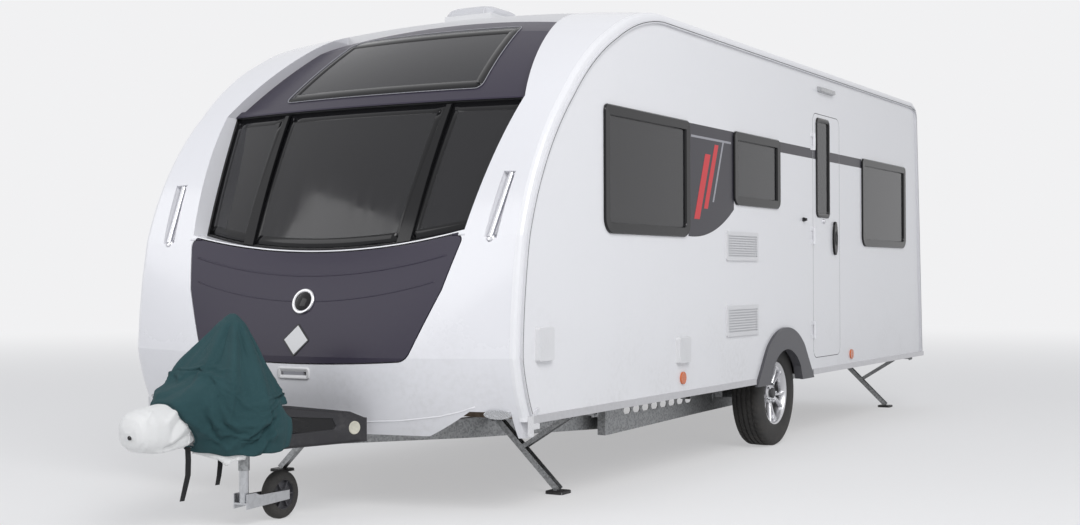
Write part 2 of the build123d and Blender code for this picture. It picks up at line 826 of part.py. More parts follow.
# Awning rails round both walls, and aluminium rails along their feet
rail_proud = 12.0
rail_width = 16.0
with BuildSketch() as wall_outline:
    with BuildLine():
        trace(rows_at(BODY, 1))
    make_face()
    with Locations((tail_x + 50, floor_under_z - 50)):
        Rectangle(100, 102)
    with Locations((nose_x - 157, lip_z - 50)):
        Rectangle(40, 102)
rail_outer = grown(wall_outline.sketch, -rail_inset, Kind.ARC)
rail_inner = grown(wall_outline.sketch, -rail_inset - rail_width, Kind.ARC)
bottom_rail_z = 411.0
bottom_rail_height = 34.0
bottom_rail_top_z = bottom_rail_z + bottom_rail_height
above_rail = block(tail_x - 50, nose_x + 50, -wall_y - 50, wall_y + 50, bottom_rail_top_z, roof_z)
between_rails = block(tail_x + 70, nose_x - 190, -wall_y - 50, wall_y + 50, lip_z, 540)
with BuildPart() as awning_rails:
    for near, far in ((wall_y, wall_y + rail_proud), (-wall_y - rail_proud, -wall_y)):
        add(side_prism(rail_outer, near, far))
        add(side_prism(rail_inner, near - 1, far + 1), mode=Mode.SUBTRACT)
    add(above_rail, mode=Mode.INTERSECT)
    add(between_rails, mode=Mode.SUBTRACT)
save(awning_rails.part, "awning_rails")

rail_front_x = nose_x - 127
arch_clear = arch_half_foot + 2
with BuildPart() as bottom_rails:
    for near, far in ((wall_y, wall_y + rail_proud), (-wall_y - rail_proud, -wall_y)):
        for x_from, x_to in ((tail_x + 8, axle_x - arch_clear), (axle_x + arch_clear, rail_front_x)):
            add(block(x_from, x_to, near, far, bottom_rail_z, bottom_rail_top_z))
save(bottom_rails.part, "bottom_rails")

arch_proud = 18.0
with BuildPart() as arch_trims:
    for side in (-1, 1):
        near, far = (wall_y, wall_y + arch_proud) if side > 0 else (-wall_y - arch_proud, -wall_y)
        lip_near, lip_far = (inner_y - 6, wall_y) if side > 0 else (-wall_y, -inner_y + 6)
        add(side_prism(arch_outer, near, far))
        add(side_prism(grown(arch_cut, -2), lip_near, lip_far))
        add(side_prism(arch_inner, min(near, lip_near) - 1, max(far, lip_far) + 1), mode=Mode.SUBTRACT)
    add(block(axle_x - 600, axle_x + 600, -wall_y - 50, wall_y + 50, arch_bottom_z, 900), mode=Mode.INTERSECT)
save(arch_trims.part, "arch_trims")

# Chassis: tapered side members with slots, joined by cross members
member_web = 5.0
member_flange = 46.0
member_top_z = floor_under_z
member_rear_x = tail_x + 240
member_front_x = 1035.0
CROSS_MEMBERS = (-3440, -2400, -1500, 200, 980)
beam_x = axle_x + 170
beam_z = 352.0
beam_radius = 56.0
with BuildSketch() as beam_section:
    with Locations((beam_x, beam_z)):
        RegularPolygon(beam_radius, 6)
beam_hole = grown(beam_section.sketch, 0.3)
with BuildSketch() as member_side:
    with BuildLine():
        Polyline(
            (member_rear_x, member_top_z),
            (member_rear_x, 360),
            (axle_x - 800, 325),
            (axle_x - 330, 235),
            (axle_x + 480, 226),
            (member_front_x - 60, 207),
            (member_front_x, 207),
            (member_front_x, member_top_z),
            close=True,
        )
    make_face()
with BuildSketch() as slot_face:
    for n in range(8):
        with Locations((axle_x + 620 + 115 * n, 320)):
            Rectangle(86, 40)
    chamfer(slot_face.vertices(), 14)
with BuildPart() as chassis_frame:
    for side in (-1, 1):
        web = (side * member_y, side * (member_y - member_web))
        flange = (side * member_y, side * (member_y - member_flange))
        add(side_prism(member_side.sketch, min(flange), max(flange)))
        inside = (side * (member_y - member_web), side * (member_y - member_flange - 1))
        add(
            side_prism(grown(member_side.sketch, -member_web), min(inside), max(inside)),
            mode=Mode.SUBTRACT,
        )
        add(side_prism(slot_face.sketch, min(web) - 1, max(web) + 1), mode=Mode.SUBTRACT)
    add(side_prism(beam_hole, -member_y - 1, member_y + 1), mode=Mode.SUBTRACT)
    for x in CROSS_MEMBERS:
        half = member_y - member_web
        add(block(x - 25, x + 25, -half, half, floor_under_z - 60, floor_under_z))
save(chassis_frame.part, "chassis_frame")

# A-frame drawbar: two bars from the side members to the hitch
bar_rear_y = member_y - member_flange - 30
bar_rear_x = 820.0
bar_front_x = 3330.0
bar_front_y = 62.0
bar_width = 44.0
hitch_z = 425.0
bar_length = sqrt((bar_front_x - bar_rear_x) ** 2 + (bar_rear_y - bar_front_y) ** 2)
with BuildSketch() as bar_side:
    with BuildLine():
        Polyline(
            (0, 225),
            (bar_length * 0.42, 260),
            (bar_length, hitch_z - 92),
            (bar_length, hitch_z - 18),
            (bar_length * 0.72, hitch_z - 18),
            (bar_length * 0.5, 358),
            (0, 358),
            close=True,
        )
    make_face()
with BuildPart() as drawbar:
    for side in (-1, 1):
        run = Vector(bar_front_x - bar_rear_x, side * (bar_front_y - bar_rear_y), 0)
        across = Vector(run.Y, -run.X, 0).normalized()
        start = Vector(bar_rear_x, side * bar_rear_y, 0) - across * (bar_width / 2)
        with BuildSketch(Plane(origin=start, x_dir=run, z_dir=across)):
            add(bar_side.sketch)
        extrude(amount=bar_width)
    add(block(bar_front_x - 300, bar_front_x, -bar_front_y, bar_front_y, hitch_z - 24, hitch_z - 12))
    half = member_y - member_web
    add(block(bar_rear_x + 20, bar_rear_x + 70, -half, half, 300, 358))
save(drawbar.part, "drawbar")

# Overrun hitch with its coupling head and handbrake lever
ball_x = 3652.0
ball_radius = 25.2
shaft_radius = 26.0
head_half = 42.0
lever_top_z = 876.7
with BuildPart() as hitch:
    with BuildSketch(Plane.YZ.offset(bar_front_x - 230)):
        with Locations((0, hitch_z + 32)):
            RectangleRounded(112, 88, 16)
    extrude(amount=180)
    with BuildSketch(Plane.YZ.offset(bar_front_x - 60)):
        with Locations((0, hitch_z + 32)):
            Circle(shaft_radius)
    extrude(amount=ball_x - bar_front_x - 40)
    with BuildSketch(Plane.XY.offset(hitch_z - 10)):
        with BuildLine():
            Polyline(
                (ball_x - 220, -32), (ball_x - 20, -head_half), (ball_x, -head_half),
            )
            ThreePointArc((ball_x, -head_half), (ball_x + head_half, 0), (ball_x, head_half))
            Polyline(
                (ball_x, head_half), (ball_x - 20, head_half), (ball_x - 220, 32), (ball_x - 220, -32),
            )
        make_face()
    extrude(amount=78)
    with Locations((ball_x, 0, hitch_z - 10)):
        Cylinder(ball_radius, 44, align=(Align.CENTER, Align.CENTER, Align.MIN), mode=Mode.SUBTRACT)
    with BuildSketch(Plane.XZ.offset(-8)):
        with BuildLine():
            Polyline(
                (bar_front_x - 200, hitch_z + 60),
                (bar_front_x - 160, hitch_z + 60),
                (bar_front_x - 215, lever_top_z),
                (bar_front_x - 245, lever_top_z),
                close=True,
            )
        make_face()
    extrude(amount=16)
save(hitch.part, "hitch")

# Axle beam with trailing arms, and hubs behind the wheels
axle_plate = 6.0
with BuildPart() as axle_beam:
    add(side_prism(beam_section.sketch, -member_y - axle_plate, member_y + axle_plate))
    for side in (-1, 1):
        near, far = sorted((side * member_y, side * (member_y + axle_plate)))
        add(block(beam_x - 95, beam_x + 95, near, far, beam_z - 70, beam_z + 62))
    for side in (-1, 1):
        with BuildSketch(Plane.XZ.offset(-side * (member_y + axle_plate))):
            with BuildLine():
                Polyline(
                    (beam_x + 60, beam_z + 46),
                    (beam_x + 60, beam_z - 46),
                    (axle_x, tyre_radius - 36),
                    (axle_x - 36, tyre_radius - 18),
                    (axle_x - 36, tyre_radius + 18),
                    (axle_x, tyre_radius + 36),
                    close=True,
                )
            make_face()
        extrude(amount=-side * 46)
        with BuildSketch(Plane.XZ.offset(-side * (member_y + 50))):
            with Locations((axle_x, tyre_radius)):
                Circle(24)
        extrude(amount=-side * 45.7)
        with BuildSketch(Plane.XZ.offset(-side * (member_y + 86))):
            with Locations((axle_x, tyre_radius)):
                Circle(118)
        extrude(amount=-side * 5)
save(axle_beam.part, "axle_beam")

# Wheels
bead_half = tyre_width / 2 - 14
tyre_half = tyre_width / 2
# Half the tyre's section. Columns: distance from the middle, radius.
TYRE_SIDE = (
    (tyre_half, rim_radius),
    (tyre_half, tyre_radius - 24),
    (tyre_half - 24, tyre_radius),
)
with BuildSketch(Plane.YZ) as tyre_section:
    with BuildLine():
        Polyline(*TYRE_SIDE, *[(-y, radius) for y, radius in reversed(TYRE_SIDE)], close=True)
    make_face()
face_out = bead_half - 14
with BuildSketch(Plane.YZ) as rim_section:
    with Locations((0, rim_radius - 8)):
        Rectangle(2 * bead_half, 16)
with BuildSketch(Plane.YZ) as dish_section:
    with Locations((face_out - 18, (rim_radius - 8) / 2)):
        Rectangle(24, rim_radius - 8)
# Gaps beside the twin spokes. Columns: inner radius, half width there and at the rim, first angle.
SPOKE_GAPS = ((66, 8, 42, 0), (88, 4, 18, 36))
with BuildPart() as wheel_form:
    add(rim_section.sketch)
    revolve(axis=Axis.Y)
    add(dish_section.sketch)
    revolve(axis=Axis.Y)
    for inner_radius, inner_half, outer_half, first in SPOKE_GAPS:
        with BuildSketch(Plane.XZ):
            with PolarLocations(0, 5, start_angle=first):
                with BuildLine():
                    Polyline(
                        (inner_radius, -inner_half),
                        (rim_radius - 40, -outer_half),
                        (rim_radius - 40, outer_half),
                        (inner_radius, inner_half),
                        close=True,
                    )
                make_face()
        extrude(amount=-120, mode=Mode.SUBTRACT)
with BuildPart() as tyre_form:
    add(tyre_section.sketch)
    revolve(axis=Axis.Y)
for name, side in (("left", 1), ("right", -1)):
    turn = Rot(0, 0, 0 if side > 0 else 180)
    place = Pos(axle_x, side * wheel_y, tyre_radius)
    with BuildPart() as tyre:
        add(place * turn * tyre_form.part)
    save(tyre.part, f"tyre_{name}")
    with BuildPart() as rim:
        add(place * turn * wheel_form.part)
    save(rim.part, f"rim_{name}")
    hub_y = member_y + 96
    with BuildPart() as hub:
        with BuildSketch(Plane.XZ.offset(-side * hub_y)):
            with Locations((axle_x, tyre_radius)):
                Circle(120)
        extrude(amount=-side * (wheel_y + face_out - 34.3 - hub_y))
    save(hub.part, f"hub_{name}")

# Jockey wheel beside the drawbar: clamped tube, screw, swivelling stem with fork, and wheel
jockey_x = 3205.0
bar_slope = (bar_rear_y - bar_front_y) / (bar_front_x - bar_rear_x)
jockey_tube_radius = 24.0
jockey_stem_radius = 20.0
jockey_fit = 0.6
bar_face_y = bar_front_y + (bar_front_x - jockey_x) * bar_slope + bar_width / 2 / cos(atan2(bar_slope, 1))
jockey_y = bar_face_y + jockey_tube_radius + 14
jockey_wheel_radius = 105.0
jockey_wheel_width = 58.0
jockey_trail = 231.0
jockey_tube_foot_z = 236.0
jockey_tube_top_z = 610.0
with BuildPart() as jockey_tube:
    with BuildSketch(Plane.XY.offset(jockey_tube_foot_z)):
        with Locations((jockey_x, jockey_y)):
            Circle(jockey_tube_radius)
            Circle(jockey_stem_radius + jockey_fit, mode=Mode.SUBTRACT)
    extrude(amount=jockey_tube_top_z - jockey_tube_foot_z)
    with BuildSketch(Plane.XY.offset(hitch_z - 78)):
        with Locations((jockey_x, jockey_y)):
            Circle(jockey_tube_radius + 8)
        with Locations((jockey_x, jockey_y - 22)):
            Rectangle(70, 26)
        with Locations((jockey_x, jockey_y)):
            Circle(jockey_tube_radius - 1, mode=Mode.SUBTRACT)
    extrude(amount=46)
    with BuildSketch(Plane.XY.offset(jockey_tube_top_z)):
        with Locations((jockey_x, jockey_y)):
            Circle(jockey_tube_radius)
    extrude(amount=9)
    with BuildSketch(Plane.XY.offset(jockey_tube_top_z + 9)):
        with Locations((jockey_x, jockey_y)):
            Circle(8)
    extrude(amount=18)
    with BuildSketch(Plane.XY.offset(jockey_tube_top_z + 18)):
        with Locations((jockey_x - 45, jockey_y)):
            SlotOverall(116, 16)
    extrude(amount=8)
    add(drawbar.part, mode=Mode.SUBTRACT)
save(jockey_tube.part, "jockey_tube")

screw_radius = 8.0
with BuildPart() as jockey_screw:
    with BuildSketch(Plane.XY.offset(jockey_tube_foot_z + 60)):
        with Locations((jockey_x, jockey_y)):
            Circle(screw_radius)
    extrude(amount=jockey_tube_top_z - jockey_tube_foot_z - 60 - 110)
save(jockey_screw.part, "jockey_screw")

stem_foot_z = jockey_wheel_radius + 128
fork_plate = 5.0
fork_half = jockey_wheel_width / 2 + 4
with BuildPart() as jockey_fork:
    with BuildSketch(Plane.XY.offset(stem_foot_z - 140)):
        with Locations((jockey_x, jockey_y)):
            Circle(jockey_stem_radius)
    extrude(amount=jockey_tube_top_z - 90 - stem_foot_z + 140)
    with BuildSketch(Plane.XY.offset(stem_foot_z - 110)):
        with Locations((jockey_x, jockey_y)):
            Circle(screw_radius + jockey_fit)
    extrude(amount=jockey_tube_top_z, mode=Mode.SUBTRACT)
    for side in (-1, 1):
        with BuildSketch(Plane.XZ.offset(-(jockey_y + side * fork_half))):
            with BuildLine():
                Polyline(
                    (jockey_x + 24, jockey_wheel_radius - 30),
                    (jockey_x + 24, jockey_wheel_radius + 34),
                    (jockey_x - 30, jockey_wheel_radius + 34),
                    (jockey_x - 60, jockey_wheel_radius + 22),
                    (jockey_x - jockey_trail - 22, jockey_wheel_radius + 20),
                    (jockey_x - jockey_trail - 22, jockey_wheel_radius - 20),
                    close=True,
                )
            make_face()
        extrude(amount=-side * fork_plate)
    add(
        block(
            jockey_x - 24,
            jockey_x + 24,
            jockey_y - fork_half - fork_plate,
            jockey_y + fork_half + fork_plate,
            jockey_wheel_radius - 12,
            jockey_wheel_radius - 4,
        )
    )
    with BuildSketch(Plane.XZ.offset(-(jockey_y - fork_half - fork_plate))):
        with Locations((jockey_x - jockey_trail, jockey_wheel_radius)):
            Circle(8)
    extrude(amount=-2 * (fork_half + fork_plate))
save(jockey_fork.part, "jockey_fork")

# Half the wheel's section. Columns: distance from its middle, radius.
JOCKEY_SIDE = (
    (jockey_wheel_width / 2, 9),
    (jockey_wheel_width / 2, jockey_wheel_radius - 13),
    (jockey_wheel_width / 2 - 13, jockey_wheel_radius),
)
with BuildPart() as jockey_wheel:
    with BuildSketch(Plane.YZ.offset(jockey_x - jockey_trail)):
        with BuildLine():
            near = [(jockey_y + y, jockey_wheel_radius + radius) for y, radius in JOCKEY_SIDE]
            far = [(jockey_y - y, jockey_wheel_radius + radius) for y, radius in JOCKEY_SIDE]
            Polyline(*near, *reversed(far), close=True)
        make_face()
    revolve(axis=Axis((jockey_x - jockey_trail, 0, jockey_wheel_radius), (0, 1, 0)))
save(jockey_wheel.part, "jockey_wheel")

# Fairing over the drawbar, open underneath
fairing_rear_x = 2704.0
fairing_front_x = 3150.0
fairing_skin = 6.0
fairing_foot_z = 324.0
fairing_foot_x = 2900.0
fairing_foot_y = bar_front_y + (bar_front_x - fairing_foot_x) * bar_slope


def fairing_plan(inset, overhang):
    """Plan of the fairing, drawn in from its sides and past its open ends."""
    half = (
        (fairing_rear_x - overhang, 424 - inset),
        (fairing_rear_x, 424 - inset),
        (3075, 304 - inset),
        (fairing_front_x, 290 - inset),
        (fairing_front_x + overhang, 290 - inset),
    )
    return closed_face(half + tuple((x, -y) for x, y in reversed(half)))


def fairing_side(inset, overhang):
    """Side view of the fairing, drawn in from its top and past its open ends."""
    return closed_face(
        (
            (fairing_rear_x - overhang, fairing_foot_z - overhang),
            (fairing_rear_x - overhang, 430 - inset),
            (fairing_rear_x + 10, 430 - inset),
            (2790, 462 - inset),
            (3080, 505 - inset),
            (fairing_front_x, 512 - inset),
            (fairing_front_x + overhang, 512 - inset),
            (fairing_front_x + overhang, fairing_foot_z - overhang),
        )
    )


def fairing_form(inset, overhang):
    """The fairing as a solid, drawn in from its faces and past its open ends."""
    with BuildPart() as form:
        with BuildSketch(Plane.XY.offset(fairing_foot_z - overhang)):
            add(fairing_plan(inset, overhang))
        extrude(amount=260)
        add(side_prism(fairing_side(inset, overhang), -460, 460), mode=Mode.INTERSECT)
    return form.part


fairing_hole = block(fairing_front_x - 70, fairing_front_x + 5, -80, 80, fairing_foot_z, 540)
with BuildPart() as a_frame_fairing:
    add(fairing_form(0, 0))
    add(fairing_form(fairing_skin, 10), mode=Mode.SUBTRACT)
    add(fairing_hole, mode=Mode.SUBTRACT)
    for side in (-1, 1):
        near, far = sorted((side * (fairing_foot_y - 14), side * (fairing_foot_y + 14)))
        add(block(fairing_foot_x - 40, fairing_foot_x + 40, near, far, hitch_z - 18, 466))
save(a_frame_fairing.part, "a_frame_fairing")

# Soft covers over the hitch. Columns: height, rear x, front x, half width, corner radius.
HITCH_COVER = (
    (300, 3030, 3410, 215, 90),
    (430, 3000, 3470, 275, 110),
    (580, 2995, 3465, 245, 110),
    (760, 3010, 3330, 150, 80),
    (885, 3060, 3190, 52, 40),
)
cover_thickness = 8.0


def cut_corners(half_across, half_up, corner):
    """Corners of a rectangle with its corners cut off, in order round its middle."""
    a, b = half_across, half_up
    c = corner
    return (
        (a, c - b),
        (a, b - c),
        (a - c, b),
        (c - a, b),
        (-a, b - c),
        (-a, c - b),
        (c - a, -b),
        (a - c, -b),
    )


def flat_sided(rings):
    """Solid through rings of points, with one flat face between each pair of sides."""
    faces = [Face(Wire.make_polygon(rings[0])), Face(Wire.make_polygon(rings[-1]))]
    for near, far in zip(rings, rings[1:]):
        for n in range(len(near)):
            faces.append(Face(Wire.make_polygon([near[n - 1], near[n], far[n], far[n - 1]])))
    return Solid(Shell(faces))


def stacked_form(table, inset):
    """Solid through cut rectangles that stand one above the other."""
    rings = []
    for height, rear_x, front_x, half_width, corner in table:
        drop = inset if height == table[-1][0] else 0
        middle = (rear_x + front_x) / 2
        ring = cut_corners((front_x - rear_x) / 2 - inset, half_width - inset, corner - inset * 0.6)
        rings.append([(middle + x, y, height - drop) for x, y in ring])
    return flat_sided(rings)


with BuildPart() as hitch_cover:
    add(stacked_form(HITCH_COVER, 0))
    add(stacked_form(HITCH_COVER, cover_thickness), mode=Mode.SUBTRACT)
    add(fairing_form(-0.3, 40), mode=Mode.SUBTRACT)
    add(block(bar_front_x, 3600, -46, 46, 290, hitch_z + 74), mode=Mode.SUBTRACT)
save(hitch_cover.part, "hitch_cover")

# Columns: distance along the hitch, half width, bottom z, top z, corner.
COUPLING_COVER = (
    (3488, 74, 352, 500, 26),
    (3580, 92, 330, 545, 34),
    (3680, 80, 350, 525, 32),
    (3743, 34, 405, 480, 14),
)
coupling_skin = 6.0


def nose_form(table, inset):
    """Solid through upright cut rectangles along the hitch."""
    rings = []
    for x, half_width, bottom_z, top_z, corner in table:
        back = inset if x == table[-1][0] else 0
        middle = (bottom_z + top_z) / 2
        ring = cut_corners(half_width - inset, (top_z - bottom_z) / 2 - inset, corner - inset * 0.6)
        rings.append([(x - back, y, middle + z) for y, z in ring])
    return flat_sided(rings)


with BuildPart() as coupling_cover:
    add(nose_form(COUPLING_COVER, 0))
    add(nose_form(COUPLING_COVER, coupling_skin), mode=Mode.SUBTRACT)
    add(block(3470, ball_x + 40, -36, 36, 320, 400), mode=Mode.SUBTRACT)
save(coupling_cover.part, "coupling_cover")

# Corner steadies. Columns: name, x, side. Each leg swings across the body about its inner end.
STEADIES = (
    ("front_left", 1750.0, 1),
    ("front_right", 1750.0, -1),
    ("rear_left", -3560.0, 1),
    ("rear_right", -3560.0, -1),
)
steady_pivot_y = 520.0
steady_pivot_z = 352.0
steady_foot_y = 860.0
pad_thickness = 12.0
pad_width = 92.0
leg_half = 20.0
leg_depth = 30.0
leg_angle = degrees(atan2(steady_pivot_z - pad_thickness - 12, steady_foot_y - steady_pivot_y))
leg_length = (steady_foot_y - steady_pivot_y) / cos(radians(leg_angle))
brace_from = 200.0
brace_length = 300.0
brace_pin_z = 372.0
brace_y = steady_pivot_y + brace_from * cos(radians(leg_angle))
brace_z = steady_pivot_z - brace_from * sin(radians(leg_angle))
brace_angle = degrees(atan2(brace_pin_z - brace_z, sqrt(brace_length**2 - (brace_pin_z - brace_z) ** 2)))
base_half = 27.0
base_plate = 4.0
base_end_y = 1066.0
steady_screw_z = 394.0
with BuildPart() as steady_leg_form:
    with BuildSketch(Plane.XZ):
        Rectangle(2 * leg_half, leg_depth)
        with Locations((0, 4)):
            Rectangle(2 * leg_half - 8, leg_depth, mode=Mode.SUBTRACT)
    extrude(amount=-(leg_length + 6))
    with BuildSketch(Plane.YZ.offset(-base_half + 0.3)):
        Circle(7)
    extrude(amount=2 * base_half - 0.6)
with BuildPart() as steady_brace_form:
    for side in (-1, 1):
        with BuildSketch(Plane.YZ.offset(side * (leg_half + 0.3))):
            with Locations((brace_length / 2, 0)):
                Rectangle(brace_length + 22, 22)
        extrude(amount=side * 4)
    with BuildSketch(Plane.YZ.offset(-leg_half - 3)):
        with Locations((brace_length, 0)):
            Circle(7)
    extrude(amount=2 * leg_half + 6)
    with BuildSketch(Plane.YZ.offset(-leg_half - 3)):
        with Locations((brace_length * 0.55, 0)):
            Circle(5)
    extrude(amount=2 * leg_half + 6)

with BuildSketch() as cheek:
    with BuildLine():
        Polyline(
            (490, floor_under_z - 5),
            (500, steady_pivot_z - 16),
            (540, steady_pivot_z - 16),
            (590, floor_under_z - 22),
            (base_end_y, floor_under_z - 22),
            (base_end_y, floor_under_z - 5),
            close=True,
        )
    make_face()
base_outer = base_half + base_plate
with BuildPart() as steady_base_form:
    add(block(-base_outer, base_outer, 490, base_end_y, floor_under_z - 5, floor_under_z))
    add(front_prism(cheek.sketch, base_half, base_outer))
    add(front_prism(cheek.sketch, -base_outer, -base_half))
    add(
        block(-base_half, base_half, base_end_y - 8, base_end_y, steady_screw_z - 14, floor_under_z - 5)
    )
    with BuildSketch(Plane.XZ.offset(-560)):
        with Locations((0, steady_screw_z)):
            Circle(8)
    extrude(amount=-(base_end_y + 12 - 560))
with BuildPart() as steady_bases:
    for name, x, side in STEADIES:
        add(Pos(x, 0, 0) * Rot(0, 0, 0 if side > 0 else 180) * steady_base_form.part)
save(steady_bases.part, "steady_bases")

for name, x, side in STEADIES:
    turn = Pos(x, 0, 0) * Rot(0, 0, 0 if side > 0 else 180)
    with BuildPart() as leg:
        add(turn * Pos(0, steady_pivot_y, steady_pivot_z) * Rot(-leg_angle, 0, 0) * steady_leg_form.part)
        add(
            turn
            * Pos(0, steady_foot_y, pad_thickness / 2)
            * Box(pad_width, pad_width, pad_thickness, mode=Mode.PRIVATE)
        )
    save(leg.part, f"steady_leg_{name}")
    with BuildPart() as brace:
        add(turn * Pos(0, brace_y, brace_z) * Rot(brace_angle, 0, 0) * steady_brace_form.part)
    save(brace.part, f"steady_brace_{name}")

# Rooflight frames, and their domed lids hinged at the rear edge
frame_top_z = roof_z + roof_crown + 22
lid_under_z = frame_top_z + 0.3
roof_pin_z = frame_top_z + 7
roof_pin_back = 8.0
roof_pin_radius = 6.0
roof_knuckle_half = 50.0
with BuildPart() as rooflight_frames:
    for name, middle_x, length, width in ROOFLIGHTS:
        half_length = length / 2
        half_width = width / 2
        rear_x = middle_x - half_length
        pin_x = rear_x - roof_pin_back
        add(block(rear_x, middle_x + half_length, -half_width, half_width, roof_z - 20, frame_top_z))
        for side in (-1, 1):
            near, far = sorted((side * (roof_knuckle_half + 0.3), side * (roof_knuckle_half + 24)))
            add(rod(pin_x, roof_pin_z, near, far, roof_pin_radius))
            add(block(pin_x - 6, pin_x + 6, near, far, roof_z - 20, roof_pin_z))
            add(block(pin_x, rear_x + 2, near, far, roof_z - 20, frame_top_z))
        add(
            block(
                rear_x + rooflight_frame,
                middle_x + half_length - rooflight_frame,
                -half_width + rooflight_frame,
                half_width - rooflight_frame,
                roof_z - 60,
                roof_z + 120,
            ),
            mode=Mode.SUBTRACT,
        )
    add(body_form, mode=Mode.SUBTRACT)
save(rooflight_frames.part, "rooflight_frames")
dome_height = 52.0
dome_rim = 12.0


def dome_rings(middle_x, length, width):
    """Rows of height, rear x, front x, half width and corner for a lid's dome."""
    rows = []
    for rise, inset, corner in ((0, 0, 26), (18, 8, 30), (32, 30, 34), (40, 66, 30)):
        rear_x = middle_x - length / 2 + inset
        front_x = middle_x + length / 2 - inset
        rows.append((lid_under_z + dome_rim + rise, rear_x, front_x, width / 2 - inset, corner))
    return rows


for name, middle_x, length, width in ROOFLIGHTS:
    rear_x = middle_x - length / 2
    pin_x = rear_x - roof_pin_back
    with BuildPart() as dome:
        with BuildSketch(Plane.XY.offset(lid_under_z)) as dome_foot:
            with Locations((middle_x, 0)):
                Rectangle(length, width)
            chamfer(dome_foot.vertices(), 26)
        extrude(amount=dome_rim)
        add(stacked_form(dome_rings(middle_x, length, width), 0))
        add(rod(pin_x, roof_pin_z, -roof_knuckle_half, roof_knuckle_half, roof_pin_radius))
        add(
            block(
                pin_x, rear_x + 5, -roof_knuckle_half, roof_knuckle_half, lid_under_z + 1, lid_under_z + dome_rim
            )
        )
    save(dome.part, f"rooflight_lid_{name}")

# Fridge vents. Columns: front x, rear x, bottom z, top z.
VENTS = ((271, -202, 1139, 1304), (269, -204, 707, 882))
vent_proud = 10.0
vent_border = 20.0
louvres = 9
with BuildPart() as fridge_vents:
    for front_x, rear_x, bottom_z, top_z in VENTS:
        middle = ((front_x + rear_x) / 2, (bottom_z + top_z) / 2)
        with BuildSketch(Plane.XZ.offset(-wall_y)):
            with Locations(middle):
                RectangleRounded(front_x - rear_x, top_z - bottom_z, 10)
        extrude(amount=-vent_proud)
        pitch = (top_z - bottom_z - 2 * vent_border) / louvres
        with BuildSketch(Plane.XZ.offset(-(wall_y + 3))):
            for n in range(louvres):
                with Locations((middle[0], bottom_z + vent_border + pitch * (n + 0.5))):
                    Rectangle(front_x - rear_x - 2 * vent_border, pitch * 0.5)
        extrude(amount=-vent_proud, mode=Mode.SUBTRACT)
save(fridge_vents.part, "fridge_vents")

# Service hatches. Columns: front x, rear x, bottom z, top z.
HATCHES = ((2404, 2264, 675, 832), (939, 789, 588, 732))
with BuildPart() as service_hatches:
    for front_x, rear_x, bottom_z, top_z in HATCHES:
        with BuildSketch(Plane.XZ.offset(-wall_y)):
            with Locations(((front_x + rear_x) / 2, (bottom_z + top_z) / 2)):
                RectangleRounded(front_x - rear_x, top_z - bottom_z, 14)
        extrude(amount=-22, taper=14)
save(service_hatches.part, "service_hatches")

# Round side reflectors. Columns: x, z.
REFLECTORS = ((860, 513), (-1937, 506))
with BuildPart() as side_reflectors:
    for side in (-1, 1):
        for x, z in REFLECTORS:
            with BuildSketch(Plane.XZ.offset(-side * wall_y)):
                with Locations((x, z)):
                    Circle(33)
            extrude(amount=-side * 9)
save(side_reflectors.part, "side_reflectors")

lamp_front_x = -1267.0
lamp_rear_x = -1564.0
with BuildPart() as awning_lamp:
    with BuildSketch(Plane.XZ.offset(-wall_y)):
        with Locations(((lamp_front_x + lamp_rear_x) / 2, 2272)):
            RectangleRounded(lamp_front_x - lamp_rear_x, 36, 12)
    extrude(amount=-26, taper=12)
save(awning_lamp.part, "awning_lamp")

# White end caps where the foot rails meet the front moulding
with BuildPart() as rail_caps:
    for near, far in ((wall_y, wall_y + 20), (-wall_y - 20, -wall_y)):
        add(block(rail_front_x + 1, rail_front_x + 19, near, far, lip_z + 12, bottom_rail_z + bottom_rail_height))
        add(block(rail_front_x - 50, rail_front_x + 19, near, far, bottom_rail_z - 24, bottom_rail_z))
save(rail_caps.part, "rail_caps")

with BuildPart() as grab_handles:
    for side in (-1, 1):
        add(pillar_rod(side, handle_stand, handle_radius))
save(grab_handles.part, "grab_handles")

# Oval marker lamps on the nose's lower corners
marker_y = 1001.0
marker_z = 452.0
marker_proud = 13.0
with BuildPart() as front_markers:
    for side in (-1, 1):
        with BuildSketch() as marker_face:
            with Locations((side * marker_y, marker_z)):
                Ellipse(58, 21)
        add(skin_patch(marker_face.sketch, marker_proud, nose_x - 150, nose_x + 200))
save(front_markers.part, "front_markers")

# Rear bumper and lamp clusters
bumper_proud = 22.0
lamp_proud = 18.0
with BuildSketch() as bumper_face:
    with Locations((0, 500)):
        RectangleRounded(2 * 1060, 150, 40)
with BuildPart() as rear_bumper:
    add(skin_patch(bumper_face.sketch, -bumper_proud, tail_x - 300, tail_x + 300))
save(rear_bumper.part, "rear_bumper")
with BuildSketch() as lamp_faces:
    with Locations((-975, 800), (975, 800)):
        RectangleRounded(120, 400, 36)
with BuildPart() as rear_lamps:
    add(skin_patch(lamp_faces.sketch, -lamp_proud, tail_x - 300, tail_x + 300))
save(rear_lamps.part, "rear_lamps")

